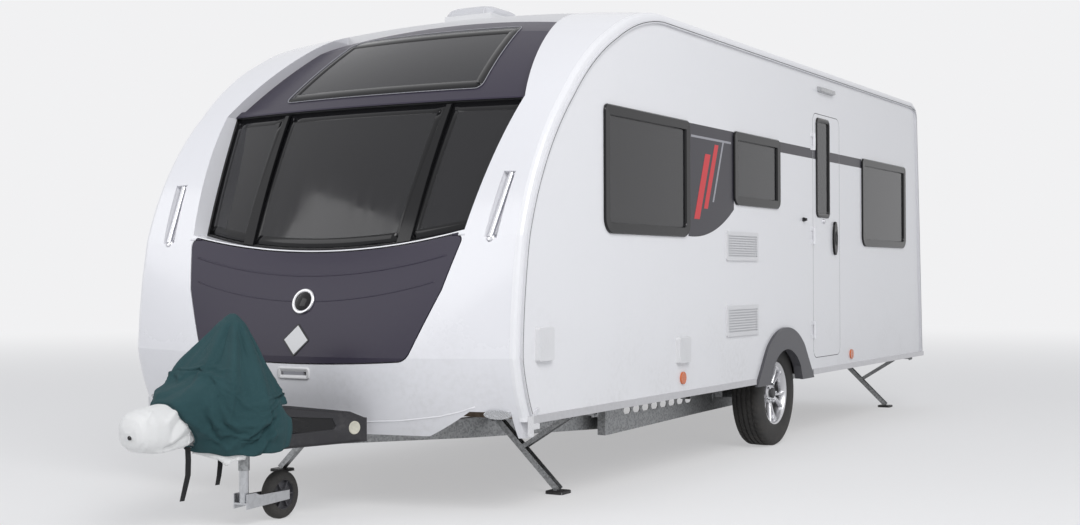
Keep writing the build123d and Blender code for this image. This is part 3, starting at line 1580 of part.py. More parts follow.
# Benches and kitchen seen through the windows
bench_inner_y = 430.0
bench_top_z = 830.0
with BuildPart() as cabin_furniture:
    for side in (-1, 1):
        near, far = sorted((side * bench_inner_y, side * (inner_y - 1)))
        add(block(560, bulkhead_x - bulkhead_thickness - 1, near, far, floor_top_z, bench_top_z))
    add(block(-250, 540, 520, inner_y - 1, floor_top_z, 1390))
save(cabin_furniture.part, "cabin_furniture")
with BuildPart() as bench_cushions:
    for side in (-1, 1):
        near, far = sorted((side * bench_inner_y, side * (inner_y - 130)))
        add(block(570, bulkhead_x - bulkhead_thickness - 10, near, far, bench_top_z + 0.3, bench_top_z + 130))
        near, far = sorted((side * (inner_y - 125), side * (inner_y - 5)))
        add(block(570, bulkhead_x - bulkhead_thickness - 10, near, far, bench_top_z + 0.3, bench_top_z + 500))
save(bench_cushions.part, "bench_cushions")
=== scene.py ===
"""Looks of a touring caravan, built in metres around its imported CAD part.

+X points forward to the hitch, +Y to the door side and +Z up.
"""

import logging
import math
from dataclasses import dataclass, field
from enum import Enum
from typing import Callable, Iterable, Sequence

import bmesh
import bpy
from mathutils import Matrix, Vector
from mathutils.bvhtree import BVHTree


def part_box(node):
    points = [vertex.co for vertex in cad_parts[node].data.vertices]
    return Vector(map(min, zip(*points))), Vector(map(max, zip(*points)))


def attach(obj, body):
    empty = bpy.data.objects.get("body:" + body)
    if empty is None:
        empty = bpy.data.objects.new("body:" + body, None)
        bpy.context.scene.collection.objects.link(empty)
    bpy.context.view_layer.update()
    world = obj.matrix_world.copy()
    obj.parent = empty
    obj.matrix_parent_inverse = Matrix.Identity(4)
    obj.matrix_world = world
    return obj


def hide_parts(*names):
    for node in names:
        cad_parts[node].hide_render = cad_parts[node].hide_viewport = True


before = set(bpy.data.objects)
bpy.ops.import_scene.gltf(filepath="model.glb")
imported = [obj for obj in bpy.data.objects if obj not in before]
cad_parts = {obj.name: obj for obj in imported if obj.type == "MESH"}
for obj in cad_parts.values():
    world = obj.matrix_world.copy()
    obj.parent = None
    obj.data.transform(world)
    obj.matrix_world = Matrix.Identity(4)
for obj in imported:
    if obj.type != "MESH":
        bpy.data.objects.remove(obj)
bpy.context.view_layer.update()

log = logging.getLogger("caravan")

Point = tuple[float, float, float]
Flat = tuple[float, float]


class Side(Enum):
    """The two sides of the caravan; the door is on the left."""

    LEFT = 1
    RIGHT = -1

    @property
    def tag(self) -> str:
        """The side's name as the pieces carry it."""
        return self.name.lower()


# Lines that several sub-assemblies share, in metres.
WALL_Y = 1.115
STRIPE_LOW = 1.810
STRIPE_HIGH = 1.873
AHEAD = 4.0


# Mesh helpers


def turns(count: int) -> list[float]:
    """Evenly spread angles of a full turn."""
    return [2 * math.pi * k / count for k in range(count)]


def add_mesh(name: str, points: Sequence, faces: Sequence, smooth: bool = True) -> bpy.types.Object:
    """Make an object from points and faces.

    Args:
        name: Name of the piece.
        points: Its vertices in metres.
        faces: Tuples of vertex numbers.
        smooth: Whether its faces are shaded smooth.

    Returns:
        The new object, linked to the scene.
    """
    mesh = bpy.data.meshes.new(name)
    mesh.from_pydata([tuple(p) for p in points], [], [tuple(f) for f in faces])
    mesh.validate()
    mesh.polygons.foreach_set("use_smooth", [smooth] * len(mesh.polygons))
    shape = bpy.data.objects.new(name, mesh)
    bpy.context.scene.collection.objects.link(shape)
    return shape


@dataclass
class Build:
    """Collects points and faces for one piece; what adds to it can be chained."""

    points: list = field(default_factory=list)
    faces: list = field(default_factory=list)

    def add(self, points: Iterable, faces: Iterable) -> "Build":
        """Add a patch of points with its own faces.

        Args:
            points: The patch's points.
            faces: Tuples of numbers into those points.

        Returns:
            This collection.
        """
        start = len(self.points)
        self.points.extend(Vector(p) for p in points)
        self.faces.extend(tuple(start + i for i in f) for f in faces)
        return self

    def grid(self, rows: Sequence[Sequence], closed: bool = False, ring: bool = False) -> "Build":
        """Skin rows of points.

        Args:
            rows: Equally long rows of points.
            closed: Whether each row joins its own start.
            ring: Whether the last row joins the first.

        Returns:
            This collection.
        """
        across = len(rows[0])
        down = len(rows)
        faces = []
        for r in range(down if ring else down - 1):
            for c in range(across if closed else across - 1):
                a = r * across + c
                b = r * across + (c + 1) % across
                d = (r + 1) % down * across + c
                e = (r + 1) % down * across + (c + 1) % across
                faces.append((a, b, e, d))
        return self.add([p for row in rows for p in row], faces)

    def rim(self, outline: Sequence[Flat], section: Iterable[Flat], place: Callable) -> "Build":
        """Run a section round a closed outline.

        Args:
            outline: Points of the outline, anticlockwise.
            section: Pairs of how far the outline is drawn in and how high it stands.
            place: Turns a flat point and a height into a point in space.

        Returns:
            This collection.
        """
        return self.grid([[place(p, high) for p in shrink(outline, inset)] for inset, high in section], closed=True)

    def cap(self, loop: Sequence, flip: bool = False) -> "Build":
        """Close a loop of points with one face."""
        order = range(len(loop))
        return self.add(loop, [tuple(reversed(order)) if flip else tuple(order)])

    def capped(self, rows: Sequence[Sequence]) -> "Build":
        """Skin closed rows and close both ends."""
        return self.grid(rows, closed=True).cap(rows[0]).cap(rows[-1], flip=True)

    def tube(self, path: Sequence, radius: float, closed: bool = False, sides: int = 8) -> "Build":
        """Sweep a round section along a path.

        Args:
            path: Points of the middle line.
            radius: Radius of the section.
            closed: Whether the path joins its own start.
            sides: Facets around the section.

        Returns:
            This collection.
        """
        line = [Vector(p) for p in path]
        rows = []
        for i, p in enumerate(line):
            ahead = line[(i + 1) % len(line)] if closed or i + 1 < len(line) else p
            behind = line[i - 1] if closed or i > 0 else p
            run = (ahead - behind).normalized()
            guide = Vector((0, 0, 1)) if abs(run.z) < 0.9 else Vector((1, 0, 0))
            u = run.cross(guide).normalized()
            v = run.cross(u).normalized()
            rows.append([p + radius * (math.cos(t) * u + math.sin(t) * v) for t in turns(sides)])
        return self.grid(rows, closed=True, ring=True) if closed else self.capped(rows)

    def box(self, low: Sequence, high: Sequence) -> "Build":
        """A block.

        Args:
            low: Its low corner.
            high: Its high corner.

        Returns:
            This collection.
        """
        x, y, z = zip(low, high)
        corners = [(x[i], y[j], z[k]) for i in (0, 1) for j in (0, 1) for k in (0, 1)]
        return self.add(corners, [(0, 1, 3, 2), (4, 6, 7, 5), (0, 4, 5, 1), (2, 3, 7, 6), (0, 2, 6, 4), (1, 5, 7, 3)])

    def lathe(self, profile: Sequence, place: Matrix, steps: int = 48) -> "Build":
        """Turn a profile about the z axis of a placement.

        Args:
            profile: Pairs of radius and height.
            place: The placement.
            steps: Facets around the axis.

        Returns:
            This collection.
        """
        rows = [
            [place @ Vector((r * math.cos(t), r * math.sin(t), high)) for r, high in profile] for t in turns(steps)
        ]
        return self.grid(rows, ring=True)

    def slab(self, outline: Sequence[Flat], place: Callable, low: float, high: float) -> "Build":
        """A flat plate with an outline.

        Args:
            outline: Points of the outline in the plate's own plane.
            place: Turns a flat point and a height into a point in space.
            low: Height of the back face.
            high: Height of the front face.

        Returns:
            This collection.
        """
        back = [place(p, low) for p in outline]
        front = [place(p, high) for p in outline]
        return self.grid([back, front], closed=True).cap(back, flip=True).cap(front)

    def shape(self, name: str, smooth: bool = True) -> bpy.types.Object:
        """Turn what was collected into one object with outward faces.

        Args:
            name: Name of the piece.
            smooth: Whether its faces are shaded smooth.

        Returns:
            The new object, without a finish or a body.
        """
        made = add_mesh(name, self.points, self.faces, smooth)
        work = bmesh.new()
        work.from_mesh(made.data)
        bmesh.ops.remove_doubles(work, verts=work.verts, dist=0.00002)
        bmesh.ops.recalc_face_normals(work, faces=work.faces)
        work.to_mesh(made.data)
        work.free()
        return made

    def piece(
        self,
        name: str,
        finish: "Finish",
        body: str = "caravan",
        slot: str = "",
        smooth: bool = True,
        sharp: float = 0.0,
        bevel: float = 0.0,
    ) -> bpy.types.Object:
        """Turn what was collected into a finished piece.

        Args:
            name: Name of the piece.
            finish: What it is made of.
            body: The body it rides on.
            slot: Not used; the record's material slot, where it has one.
            smooth: Whether its faces are shaded smooth.
            sharp: Angle in degrees above which its edges stay sharp, or 0.
            bevel: Width of its rounded edges, or 0.

        Returns:
            The new object.
        """
        made = self.shape(name, smooth)
        if sharp:
            crisp(made, sharp)
        if bevel:
            soften(made, bevel)
        return wear(made, finish, body)


def soften(shape: bpy.types.Object, width: float) -> None:
    """Round the sharp edges of a piece.

    Args:
        shape: The piece.
        width: Width of the rounded edge.
    """
    bevel = shape.modifiers.new("round", "BEVEL")
    bevel.width = width
    bevel.segments = 2
    bevel.limit_method = "ANGLE"
    bevel.angle_limit = math.radians(30)


def thicken(shape: bpy.types.Object, thickness: float, inward: bool = True) -> None:
    """Give a sheet its thickness.

    Args:
        shape: The sheet.
        thickness: How thick it is.
        inward: Whether it grows to one side only, away from its outer face.
    """
    thick = shape.modifiers.new("thickness", "SOLIDIFY")
    thick.thickness = thickness
    if inward:
        thick.offset = -1


def crisp(shape: bpy.types.Object, angle: float) -> None:
    """Keep the sharp edges of a smooth-shaded mesh sharp.

    Args:
        shape: The piece.
        angle: Angle in degrees above which an edge is sharp.
    """
    limit = math.radians(angle)
    work = bmesh.new()
    work.from_mesh(shape.data)
    for edge in work.edges:
        if len(edge.link_faces) == 2 and edge.calc_face_angle(0) > limit:
            edge.smooth = False
    work.to_mesh(shape.data)
    work.free()


# Outlines and placements


def box_outline(x0: float, x1: float, z0: float, z1: float) -> list[Flat]:
    """Outline of a plain rectangle."""
    return [(x0, z0), (x1, z0), (x1, z1), (x0, z1)]


def cornered(x0: float, x1: float, z0: float, z1: float, radii: Sequence[float], steps: int = 6) -> list[Flat]:
    """Outline of a rectangle whose corners have radii of their own.

    Args:
        x0: Low end along the first axis.
        x1: High end along the first axis.
        z0: Low end along the second axis.
        z1: High end along the second axis.
        radii: Corner radii at low-low, high-low, high-high and low-high.
        steps: Facets in each corner.

    Returns:
        The outline's points, anticlockwise.
    """
    corners = (
        (x0, z0, 1, 1, 180),
        (x1, z0, -1, 1, 270),
        (x1, z1, -1, -1, 0),
        (x0, z1, 1, -1, 90),
    )
    outline = []
    for (x, z, dx, dz, start), radius in zip(corners, radii):
        middle = (x + dx * radius, z + dz * radius)
        for k in range(steps + 1):
            t = math.radians(start + 90 * k / steps)
            outline.append((middle[0] + radius * math.cos(t), middle[1] + radius * math.sin(t)))
    return outline


def rounded_at(x: float, z: float, width: float, height: float, radius: float) -> list[Flat]:
    """Outline of a rounded rectangle about a place.

    Args:
        x: Middle along the first axis.
        z: Middle along the second axis.
        width: Size along the first axis.
        height: Size along the second axis.
        radius: Radius of its corners.

    Returns:
        The outline's points, anticlockwise.
    """
    plain = cornered(-width / 2, width / 2, -height / 2, height / 2, (radius,) * 4)
    return [(x + a, z + b) for a, b in plain]


def soft_corners(corners: Sequence[Flat], radius: float) -> list[Flat]:
    """Round the corners of a polygon with short curves.

    Args:
        corners: The polygon's corners.
        radius: How far from a corner its curve starts.

    Returns:
        The outline's points.
    """
    steps = 5
    outline = []
    count = len(corners)
    for i, corner in enumerate(corners):
        here = Vector(corner)
        before = (Vector(corners[i - 1]) - here).normalized() * radius
        after = (Vector(corners[(i + 1) % count]) - here).normalized() * radius
        for k in range(steps + 1):
            t = k / steps
            p = here + before * (1 - t) ** 2 + after * t**2
            outline.append((p.x, p.y))
    return outline


def arc_through(a: Flat, b: Flat, c: Flat, steps: int) -> list[Flat]:
    """Points on the arc from a through b to c.

    Args:
        a: Where the arc starts.
        b: A point on the way.
        c: Where it ends.
        steps: Number of facets.

    Returns:
        One point more than there are facets.
    """
    ax, ay = a
    bx, by = b
    cx, cy = c
    d = 2 * (ax * (by - cy) + bx * (cy - ay) + cx * (ay - by))
    aa, bb, cc = (x * x + y * y for x, y in (a, b, c))
    ux = (aa * (by - cy) + bb * (cy - ay) + cc * (ay - by)) / d
    uy = (aa * (cx - bx) + bb * (ax - cx) + cc * (bx - ax)) / d
    start, middle, end = (math.atan2(y - uy, x - ux) for x, y in (a, b, c))
    sweep = (end - start) % (2 * math.pi)
    if (middle - start) % (2 * math.pi) > sweep:
        sweep -= 2 * math.pi
    radius = math.hypot(ax - ux, ay - uy)
    angles = [start + sweep * k / steps for k in range(steps + 1)]
    return [(ux + radius * math.cos(t), uy + radius * math.sin(t)) for t in angles]


def shrink(outline: Sequence[Flat], amount: float) -> list[Flat]:
    """The same closed outline, drawn in.

    Args:
        outline: Points of the outline, anticlockwise.
        amount: How far it is drawn in.

    Returns:
        As many points as the outline has.
    """
    count = len(outline)
    inner = []
    for i, (x, z) in enumerate(outline):
        before = Vector(outline[i - 1])
        after = Vector(outline[(i + 1) % count])
        run = (after - before).normalized()
        inner.append((x - run.y * amount, z + run.x * amount))
    return inner


def along(points: Sequence, step: float) -> list[Vector]:
    """Points at even steps along a path, corners kept.

    Args:
        points: Corners of the path.
        step: About how far apart the points are.

    Returns:
        The points, first and last corner included.
    """
    line = [Vector(p) for p in points]
    out = [line[0]]
    for a, b in zip(line, line[1:]):
        count = max(1, round((b - a).length / step))
        out.extend(a.lerp(b, k / count) for k in range(1, count + 1))
    return out


def divided(points: Sequence[Flat], step: float) -> list[Flat]:
    """Flat points at even steps along a path, corners kept."""
    return [(p.x, p.y) for p in along([(x, y, 0) for x, y in points], step)]


def fine(outline: Sequence[Flat], step: float) -> list[Flat]:
    """The same closed outline with points at least as close as a step."""
    return divided([*outline, outline[0]], step)[:-1]


def on_left_wall(flat: Flat, height: float) -> Vector:
    """A point on the left wall, stood off by a height."""
    return Vector((flat[0], WALL_Y + height, flat[1]))


def on_right_wall(flat: Flat, height: float) -> Vector:
    """A point on the right wall, stood off by a height."""
    return Vector((flat[0], -WALL_Y - height, flat[1]))


WALLS = {Side.LEFT: on_left_wall, Side.RIGHT: on_right_wall}


def facing(origin: Sequence, out: Vector) -> Matrix:
    """Placement at an origin whose z axis points out."""
    return Matrix.Translation(origin) @ out.to_track_quat("Z", "Y").to_matrix().to_4x4()


def sideways(origin: Sequence, side: Side) -> Matrix:
    """Placement at an origin whose z axis points to a side."""
    return Matrix.Translation(origin) @ Matrix.Rotation(math.radians(-90 * side.value), 4, "X")


class Skin:
    """Finds points on the outer surface of some CAD nodes."""

    def __init__(self, *nodes: str) -> None:
        """Read the nodes' meshes.

        Args:
            *nodes: Names of the nodes.
        """
        points = []
        faces = []
        for name in nodes:
            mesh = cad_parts[name].data
            start = len(points)
            points.extend(v.co.copy() for v in mesh.vertices)
            faces.extend(tuple(start + i for i in p.vertices) for p in mesh.polygons)
        self.tree = BVHTree.FromPolygons(points, faces)

    def hit(self, start: Sequence, run: Sequence) -> tuple[Vector, Vector] | None:
        """First point that a ray meets.

        Args:
            start: Where the ray starts.
            run: The way it runs.

        Returns:
            The point and the way the surface faces there, or None.
        """
        point, normal, _, _ = self.tree.ray_cast(Vector(start), Vector(run).normalized())
        if point is None:
            return None
        if normal.dot(Vector(run)) > 0:
            normal = -normal
        return point, normal

    def front(self, y: float, z: float, lift: float = 0.0) -> Vector:
        """Point on the front at a place in the front view.

        A place in a narrow gap takes the point beside it.

        Args:
            y: The place's y.
            z: The place's height.
            lift: How far the point stands off the surface.

        Returns:
            The point.
        """
        for reach in (0, 0.002, 0.004, 0.007, 0.011):
            for dy, dz in ((0, reach), (0, -reach), (reach, 0), (-reach, 0)):
                found = self.hit((AHEAD, y + dy, z + dz), (-1, 0, 0))
                if found is not None:
                    return Vector((found[0].x, y, z)) + lift * found[1]
        raise ValueError(f"no surface at y {y:.3f}, z {z:.3f}")

    def over(self, spot: Flat, lift: float) -> Vector:
        """Point on the front at a spot, stood off by a lift."""
        return self.front(*spot, lift)

    def out(self, y: float, z: float, reach: float) -> Vector:
        """The way the front faces about a place.

        Args:
            y: The place's y.
            z: The place's height.
            reach: How far around the place the direction is evened.

        Returns:
            The direction, of length 1.
        """
        total = Vector((0, 0, 0))
        for dy, dz in ((0, 0), (reach, 0), (-reach, 0), (0, reach), (0, -reach)):
            found = self.hit((AHEAD, y + dy, z + dz), (-1, 0, 0))
            if found is not None:
                total += found[1]
        return total.normalized()


def wear(shape: bpy.types.Object, finish: "Finish", body: str) -> bpy.types.Object:
    """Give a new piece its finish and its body.

    Args:
        shape: The piece.
        finish: What it is made of.
        body: The body it rides on.

    Returns:
        The same piece.
    """
    shape.data.materials.clear()
    shape.data.materials.append(finish.material())
    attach(shape, body)
    log.info("%s: %d faces on %s", shape.name, len(shape.data.polygons), body)
    return shape


def dress(finish: "Finish", *nodes: str) -> None:
    """Give CAD nodes a new finish.

    Args:
        finish: What they are made of.
        *nodes: Names of the nodes.
    """
    for node in nodes:
        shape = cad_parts[node]
        shape.data.materials.clear()
        shape.data.materials.append(finish.material())
        log.info("%s dressed as %s", node, finish.name)


# Shared effects


def start_group(title: str, inputs: Sequence, outputs: Sequence) -> bpy.types.NodeTree:
    """Make an empty node group with its sockets.

    Args:
        title: Name of the group.
        inputs: Triples of name, socket type and default value.
        outputs: Pairs of name and socket type.

    Returns:
        The new group.
    """
    tree = bpy.data.node_groups.new(title, "ShaderNodeTree")
    for name, kind, value in inputs:
        socket = tree.interface.new_socket(name, in_out="INPUT", socket_type=kind)
        socket.default_value = value
    for name, kind in outputs:
        tree.interface.new_socket(name, in_out="OUTPUT", socket_type=kind)
    return tree


FLOAT = "NodeSocketFloat"
COLOUR = "NodeSocketColor"


class Wiring:
    """Places and links nodes in one tree."""

    def __init__(self, tree: bpy.types.NodeTree) -> None:
        """Work in a tree."""
        self.tree = tree

    def node(self, kind: str, inputs: dict | None = None, **settings: object) -> bpy.types.Node:
        """Add a node, set its properties and feed its inputs.

        Args:
            kind: The node's type, without the leading "ShaderNode".
            inputs: Socket name or number to a value or an output socket.
            **settings: Properties of the node.

        Returns:
            The node.
        """
        made = self.tree.nodes.new(kind if kind.startswith("Node") else "ShaderNode" + kind)
        for name, value in settings.items():
            setattr(made, name, value)
        for name, value in (inputs or {}).items():
            if isinstance(value, bpy.types.NodeSocket):
                self.tree.links.new(value, made.inputs[name])
            else:
                made.inputs[name].default_value = value
        return made

    def maths(self, operation: str, *values: object, clamp: bool = False) -> bpy.types.NodeSocket:
        """A Math node's result.

        Args:
            operation: The node's operation.
            *values: Its numbers or sockets.
            clamp: Whether the result is kept from 0 to 1.

        Returns:
            The output socket.
        """
        made = self.node("Math", dict(enumerate(values)), operation=operation, use_clamp=clamp)
        return made.outputs[0]

    def ramp(self, value: object, given: Sequence, wanted: Sequence = (0.0, 1.0)) -> bpy.types.NodeSocket:
        """Carry a value smoothly from one range to another.

        Args:
            value: The number or socket.
            given: Low and high end of its own range.
            wanted: What these ends turn into.

        Returns:
            The output socket.
        """
        ends = {"From Min": given[0], "From Max": given[1], "To Min": wanted[0], "To Max": wanted[1]}
        made = self.node("MapRange", {"Value": value, **ends}, interpolation_type="SMOOTHSTEP")
        return made.outputs["Result"]

    def place(self, scale: Point = (1.0, 1.0, 1.0)) -> bpy.types.NodeSocket:
        """The object's own coordinates, stretched."""
        where = self.node("TexCoord").outputs["Object"]
        return self.node("Mapping", {"Vector": where, "Scale": scale}).outputs["Vector"]

    def noise(self, scale: object, detail: float = 3, where: object = None) -> bpy.types.NodeSocket:
        """Noise over the object.

        Args:
            scale: How fine it is.
            detail: How many finer layers it has.
            where: Coordinates, if not the object's own.

        Returns:
            The output socket, 0 to 1.
        """
        place = where or self.node("TexCoord").outputs["Object"]
        return self.node("TexNoise", {"Vector": place, "Scale": scale, "Detail": detail}).outputs["Fac"]

    def blend(self, amount: object, a: object, b: object) -> bpy.types.NodeSocket:
        """Mix two colours.

        Args:
            amount: Share of the second colour.
            a: The first colour.
            b: The second colour.

        Returns:
            The output socket.
        """
        made = self.node("Mix", data_type="RGBA")
        for name, value in (("Factor_Float", amount), ("A_Color", a), ("B_Color", b)):
            socket = next(s for s in made.inputs if s.identifier == name)
            if isinstance(value, bpy.types.NodeSocket):
                self.tree.links.new(value, socket)
            else:
                socket.default_value = value
        return next(s for s in made.outputs if s.identifier == "Result_Color")

    def axes(self) -> tuple:
        """The object's own x, y and z."""
        made = self.node("SeparateXYZ", {0: self.node("TexCoord").outputs["Object"]})
        return tuple(made.outputs)


def weather_effect() -> bpy.types.NodeTree:
    """Faint mottling and grime that gathers low down; gives a colour and a roughness."""
    known = bpy.data.node_groups.get("weather")
    if known:
        return known
    tree = start_group(
        "weather",
        (
            ("Colour", COLOUR, (0.8, 0.8, 0.8, 1)),
            ("Grime", COLOUR, (0.3, 0.29, 0.25, 1)),
            ("Roughness", FLOAT, 0.3),
            ("Amount", FLOAT, 0.2),
            ("Low", FLOAT, 0.3),
            ("High", FLOAT, 1.1),
            ("Scale", FLOAT, 6.0),
        ),
        (("Colour", COLOUR), ("Roughness", FLOAT)),
    )
    w = Wiring(tree)
    given = w.node("NodeGroupInput").outputs
    patches = w.noise(given["Scale"], 5)
    fine = w.noise(w.maths("MULTIPLY", given["Scale"], 9.0), 4)
    height = w.ramp(w.axes()[2], (given["Low"], given["High"]), (1.0, 0.12))
    spots = w.maths("MULTIPLY", w.ramp(patches, (0.35, 0.75)), w.ramp(fine, (0.3, 0.8)))
    spread = w.maths("ADD", w.maths("MULTIPLY", spots, 0.75), 0.25)
    amount = w.maths("MULTIPLY", w.maths("MULTIPLY", spread, height), given["Amount"], clamp=True)
    colour = w.blend(amount, given["Colour"], given["Grime"])
    rough = w.maths("ADD", given["Roughness"], w.maths("MULTIPLY", amount, 0.5), clamp=True)
    w.node("NodeGroupOutput", {"Colour": colour, "Roughness": rough})
    return tree


def grain_effect() -> bpy.types.NodeTree:
    """Fine bumps at two sizes; gives a height."""
    known = bpy.data.node_groups.get("grain")
    if known:
        return known
    tree = start_group(
        "grain",
        (("Scale", FLOAT, 300.0), ("Coarse", FLOAT, 0.3)),
        (("Height", FLOAT),),
    )
    w = Wiring(tree)
    given = w.node("NodeGroupInput").outputs
    fine = w.noise(given["Scale"], 2)
    coarse = w.noise(w.maths("MULTIPLY", given["Scale"], 0.12), 2)
    height = w.maths("ADD", fine, w.maths("MULTIPLY", coarse, given["Coarse"]))
    w.node("NodeGroupOutput", {"Height": height})
    return tree


def weave_effect() -> bpy.types.NodeTree:
    """Crossing threads; gives a height and a mask of the thread tops, which the cloth paints paler as a painted
    highlight.
    """
    known = bpy.data.node_groups.get("weave")
    if known:
        return known
    tree = start_group("weave", (("Pitch", FLOAT, 0.002),), (("Height", FLOAT), ("Lit_Tops", FLOAT)))
    w = Wiring(tree)
    given = w.node("NodeGroupInput").outputs
    x, y, z = w.axes()
    rate = w.maths("DIVIDE", 2 * math.pi, given["Pitch"])
    a = w.maths("SINE", w.maths("MULTIPLY", w.maths("ADD", x, y), rate))
    b = w.maths("SINE", w.maths("MULTIPLY", w.maths("ADD", z, w.maths("MULTIPLY", y, 0.4)), rate))
    height = w.maths("MULTIPLY", w.maths("ADD", w.maths("MULTIPLY", a, b), 1.0), 0.5)
    w.node("NodeGroupOutput", {"Height": height, "Lit_Tops": w.ramp(height, (0.4, 0.9))})
    return tree


# Finishes

ROAD_FILM = (0.3, 0.29, 0.25)
GREY_DUST = (0.22, 0.21, 0.2)
TYRE_DUST = (0.16, 0.145, 0.125)


@dataclass(frozen=True)
class Finish:
    """A finish with one material of its own name."""

    name: str
    colour: Point = (0.8, 0.8, 0.8)
    roughness: float = 0.4

    def material(self) -> bpy.types.Material:
        """The finish's material, made the first time it is asked for."""
        title = f"{self.name}_finish"
        known = bpy.data.materials.get(title)
        if known:
            return known
        made = bpy.data.materials.new(title)
        made.use_nodes = True
        made.diffuse_color = (*self.colour, 1)
        w = Wiring(made.node_tree)
        shader = made.node_tree.nodes["Principled BSDF"]
        shader.inputs["Base Color"].default_value = (*self.colour, 1)
        shader.inputs["Roughness"].default_value = self.roughness
        self.wire(w, shader)
        return made

    def wire(self, w: Wiring, shader: bpy.types.Node) -> None:
        """Wire the finish's own nodes to its shader.

        Args:
            w: Wiring of the material.
            shader: Its shader.
        """

    def weathered(
        self,
        w: Wiring,
        shader: bpy.types.Node,
        amount: float,
        scale: float,
        grime: Point = ROAD_FILM,
        heights: Flat = (0.3, 1.1),
    ) -> None:
        """Feed the shader's colour and roughness through the weather effect.

        Args:
            w: Wiring of the material.
            shader: Its shader.
            amount: How much grime there is.
            scale: How fine it is.
            grime: Its colour.
            heights: Heights between which it thins out.
        """
        group = w.node("Group", node_tree=weather_effect())
        for name, value in (
            ("Colour", (*self.colour, 1)),
            ("Grime", (*grime, 1)),
            ("Roughness", self.roughness),
            ("Amount", amount),
            ("Scale", scale),
            ("Low", heights[0]),
            ("High", heights[1]),
        ):
            group.inputs[name].default_value = value
        w.tree.links.new(group.outputs["Colour"], shader.inputs["Base Color"])
        w.tree.links.new(group.outputs["Roughness"], shader.inputs["Roughness"])

    def bumped(
        self, w: Wiring, shader: bpy.types.Node, height: bpy.types.NodeSocket, strength: float, distance: float
    ) -> None:
        """Feed a height to the shader's normal.

        Args:
            w: Wiring of the material.
            shader: Its shader.
            height: Socket that gives the height.
            strength: How strongly it shows.
            distance: How tall a height of 1 is.
        """
        bump = w.node("Bump", {"Height": height, "Strength": strength, "Distance": distance})
        w.tree.links.new(bump.outputs["Normal"], shader.inputs["Normal"])

    def grained(
        self, w: Wiring, shader: bpy.types.Node, scale: float, strength: float, distance: float = 0.0004
    ) -> None:
        """Give the surface a fine grain.

        Args:
            w: Wiring of the material.
            shader: Its shader.
            scale: How fine the grain is.
            strength: How strongly it shows.
            distance: How tall it is.
        """
        group = w.node("Group", node_tree=grain_effect())
        group.inputs["Scale"].default_value = scale
        self.bumped(w, shader, group.outputs["Height"], strength, distance)


@dataclass(frozen=True)
class Gelcoat(Finish):
    """Glossy moulded panel with a slight ripple and road film low down."""

    film: float = 0.25
    coat: float = 0.4
    gloss: float = 0.5

    def wire(self, w: Wiring, shader: bpy.types.Node) -> None:
        """Weather, a shallow ripple and a clear coat.

        Args:
            w: Wiring of the material.
            shader: Its shader.
        """
        self.weathered(w, shader, self.film, 4.0)
        shader.inputs["Specular IOR Level"].default_value = self.gloss
        shader.inputs["Coat Weight"].default_value = self.coat
        shader.inputs["Coat Roughness"].default_value = 0.12
        self.bumped(w, shader, w.noise(3.0, 2), 0.12, 0.004)


@dataclass(frozen=True)
class Plastic(Finish):
    """Moulded plastic with a fine grain."""

    grain: float = 0.3
    scale: float = 500.0
    film: float = 0.25

    def wire(self, w: Wiring, shader: bpy.types.Node) -> None:
        """Weather and a grain.

        Args:
            w: Wiring of the material.
            shader: Its shader.
        """
        shader.inputs["Specular IOR Level"].default_value = 0.3
        self.weathered(w, shader, self.film, 9.0, GREY_DUST)
        self.grained(w, shader, self.scale, self.grain)


@dataclass(frozen=True)
class SmokedGlass(Finish):
    """Tinted acrylic pane, dark with a little light let through."""

    through: float = 0.75

    def wire(self, w: Wiring, shader: bpy.types.Node) -> None:
        """Let light through and mark the surface with faint water tracks.

        Args:
            w: Wiring of the material.
            shader: Its shader.
        """
        shader.inputs["Transmission Weight"].default_value = self.through
        shader.inputs["IOR"].default_value = 1.48
        shader.inputs["Specular IOR Level"].default_value = 0.28
        tracks = w.noise(3.0, 5, w.place((1.0, 9.0, 0.8)))
        ends = {"From Min": 0.3, "From Max": 0.75, "To Min": self.roughness, "To Max": self.roughness + 0.12}
        rough = w.node("MapRange", {"Value": tracks, **ends})
        w.tree.links.new(rough.outputs["Result"], shader.inputs["Roughness"])


@dataclass(frozen=True)
class Metal(Finish):
    """Bare or plated metal with spangle and scuffs."""

    spangle: float = 0.3
    scale: float = 60.0
    metallic: float = 1.0

    def wire(self, w: Wiring, shader: bpy.types.Node) -> None:
        """Vary the colour and roughness in patches.

        Args:
            w: Wiring of the material.
            shader: Its shader.
        """
        shader.inputs["Metallic"].default_value = self.metallic
        cells = w.node("TexVoronoi", {"Vector": w.node("TexCoord").outputs["Object"], "Scale": self.scale})
        mix = w.maths("MULTIPLY", w.ramp(cells.outputs["Color"], (0.2, 0.9)), self.spangle)
        dark = tuple(c * 0.55 for c in self.colour)
        w.tree.links.new(w.blend(mix, (*self.colour, 1), (*dark, 1)), shader.inputs["Base Color"])
        rough = w.maths("ADD", w.maths("MULTIPLY", w.noise(self.scale * 0.4, 4), 0.25), self.roughness - 0.1)
        w.tree.links.new(rough, shader.inputs["Roughness"])
        self.grained(w, shader, self.scale * 8, 0.08, 0.0003)


@dataclass(frozen=True)
class Tread(Finish):
    """Tyre rubber with dust in its grain."""

    def wire(self, w: Wiring, shader: bpy.types.Node) -> None:
        """Dusty mottling and a fine grain.

        Args:
            w: Wiring of the material.
            shader: Its shader.
        """
        self.weathered(w, shader, 0.4, 14.0, TYRE_DUST, (0.0, 0.9))
        self.grained(w, shader, 260.0, 0.4, 0.0006)


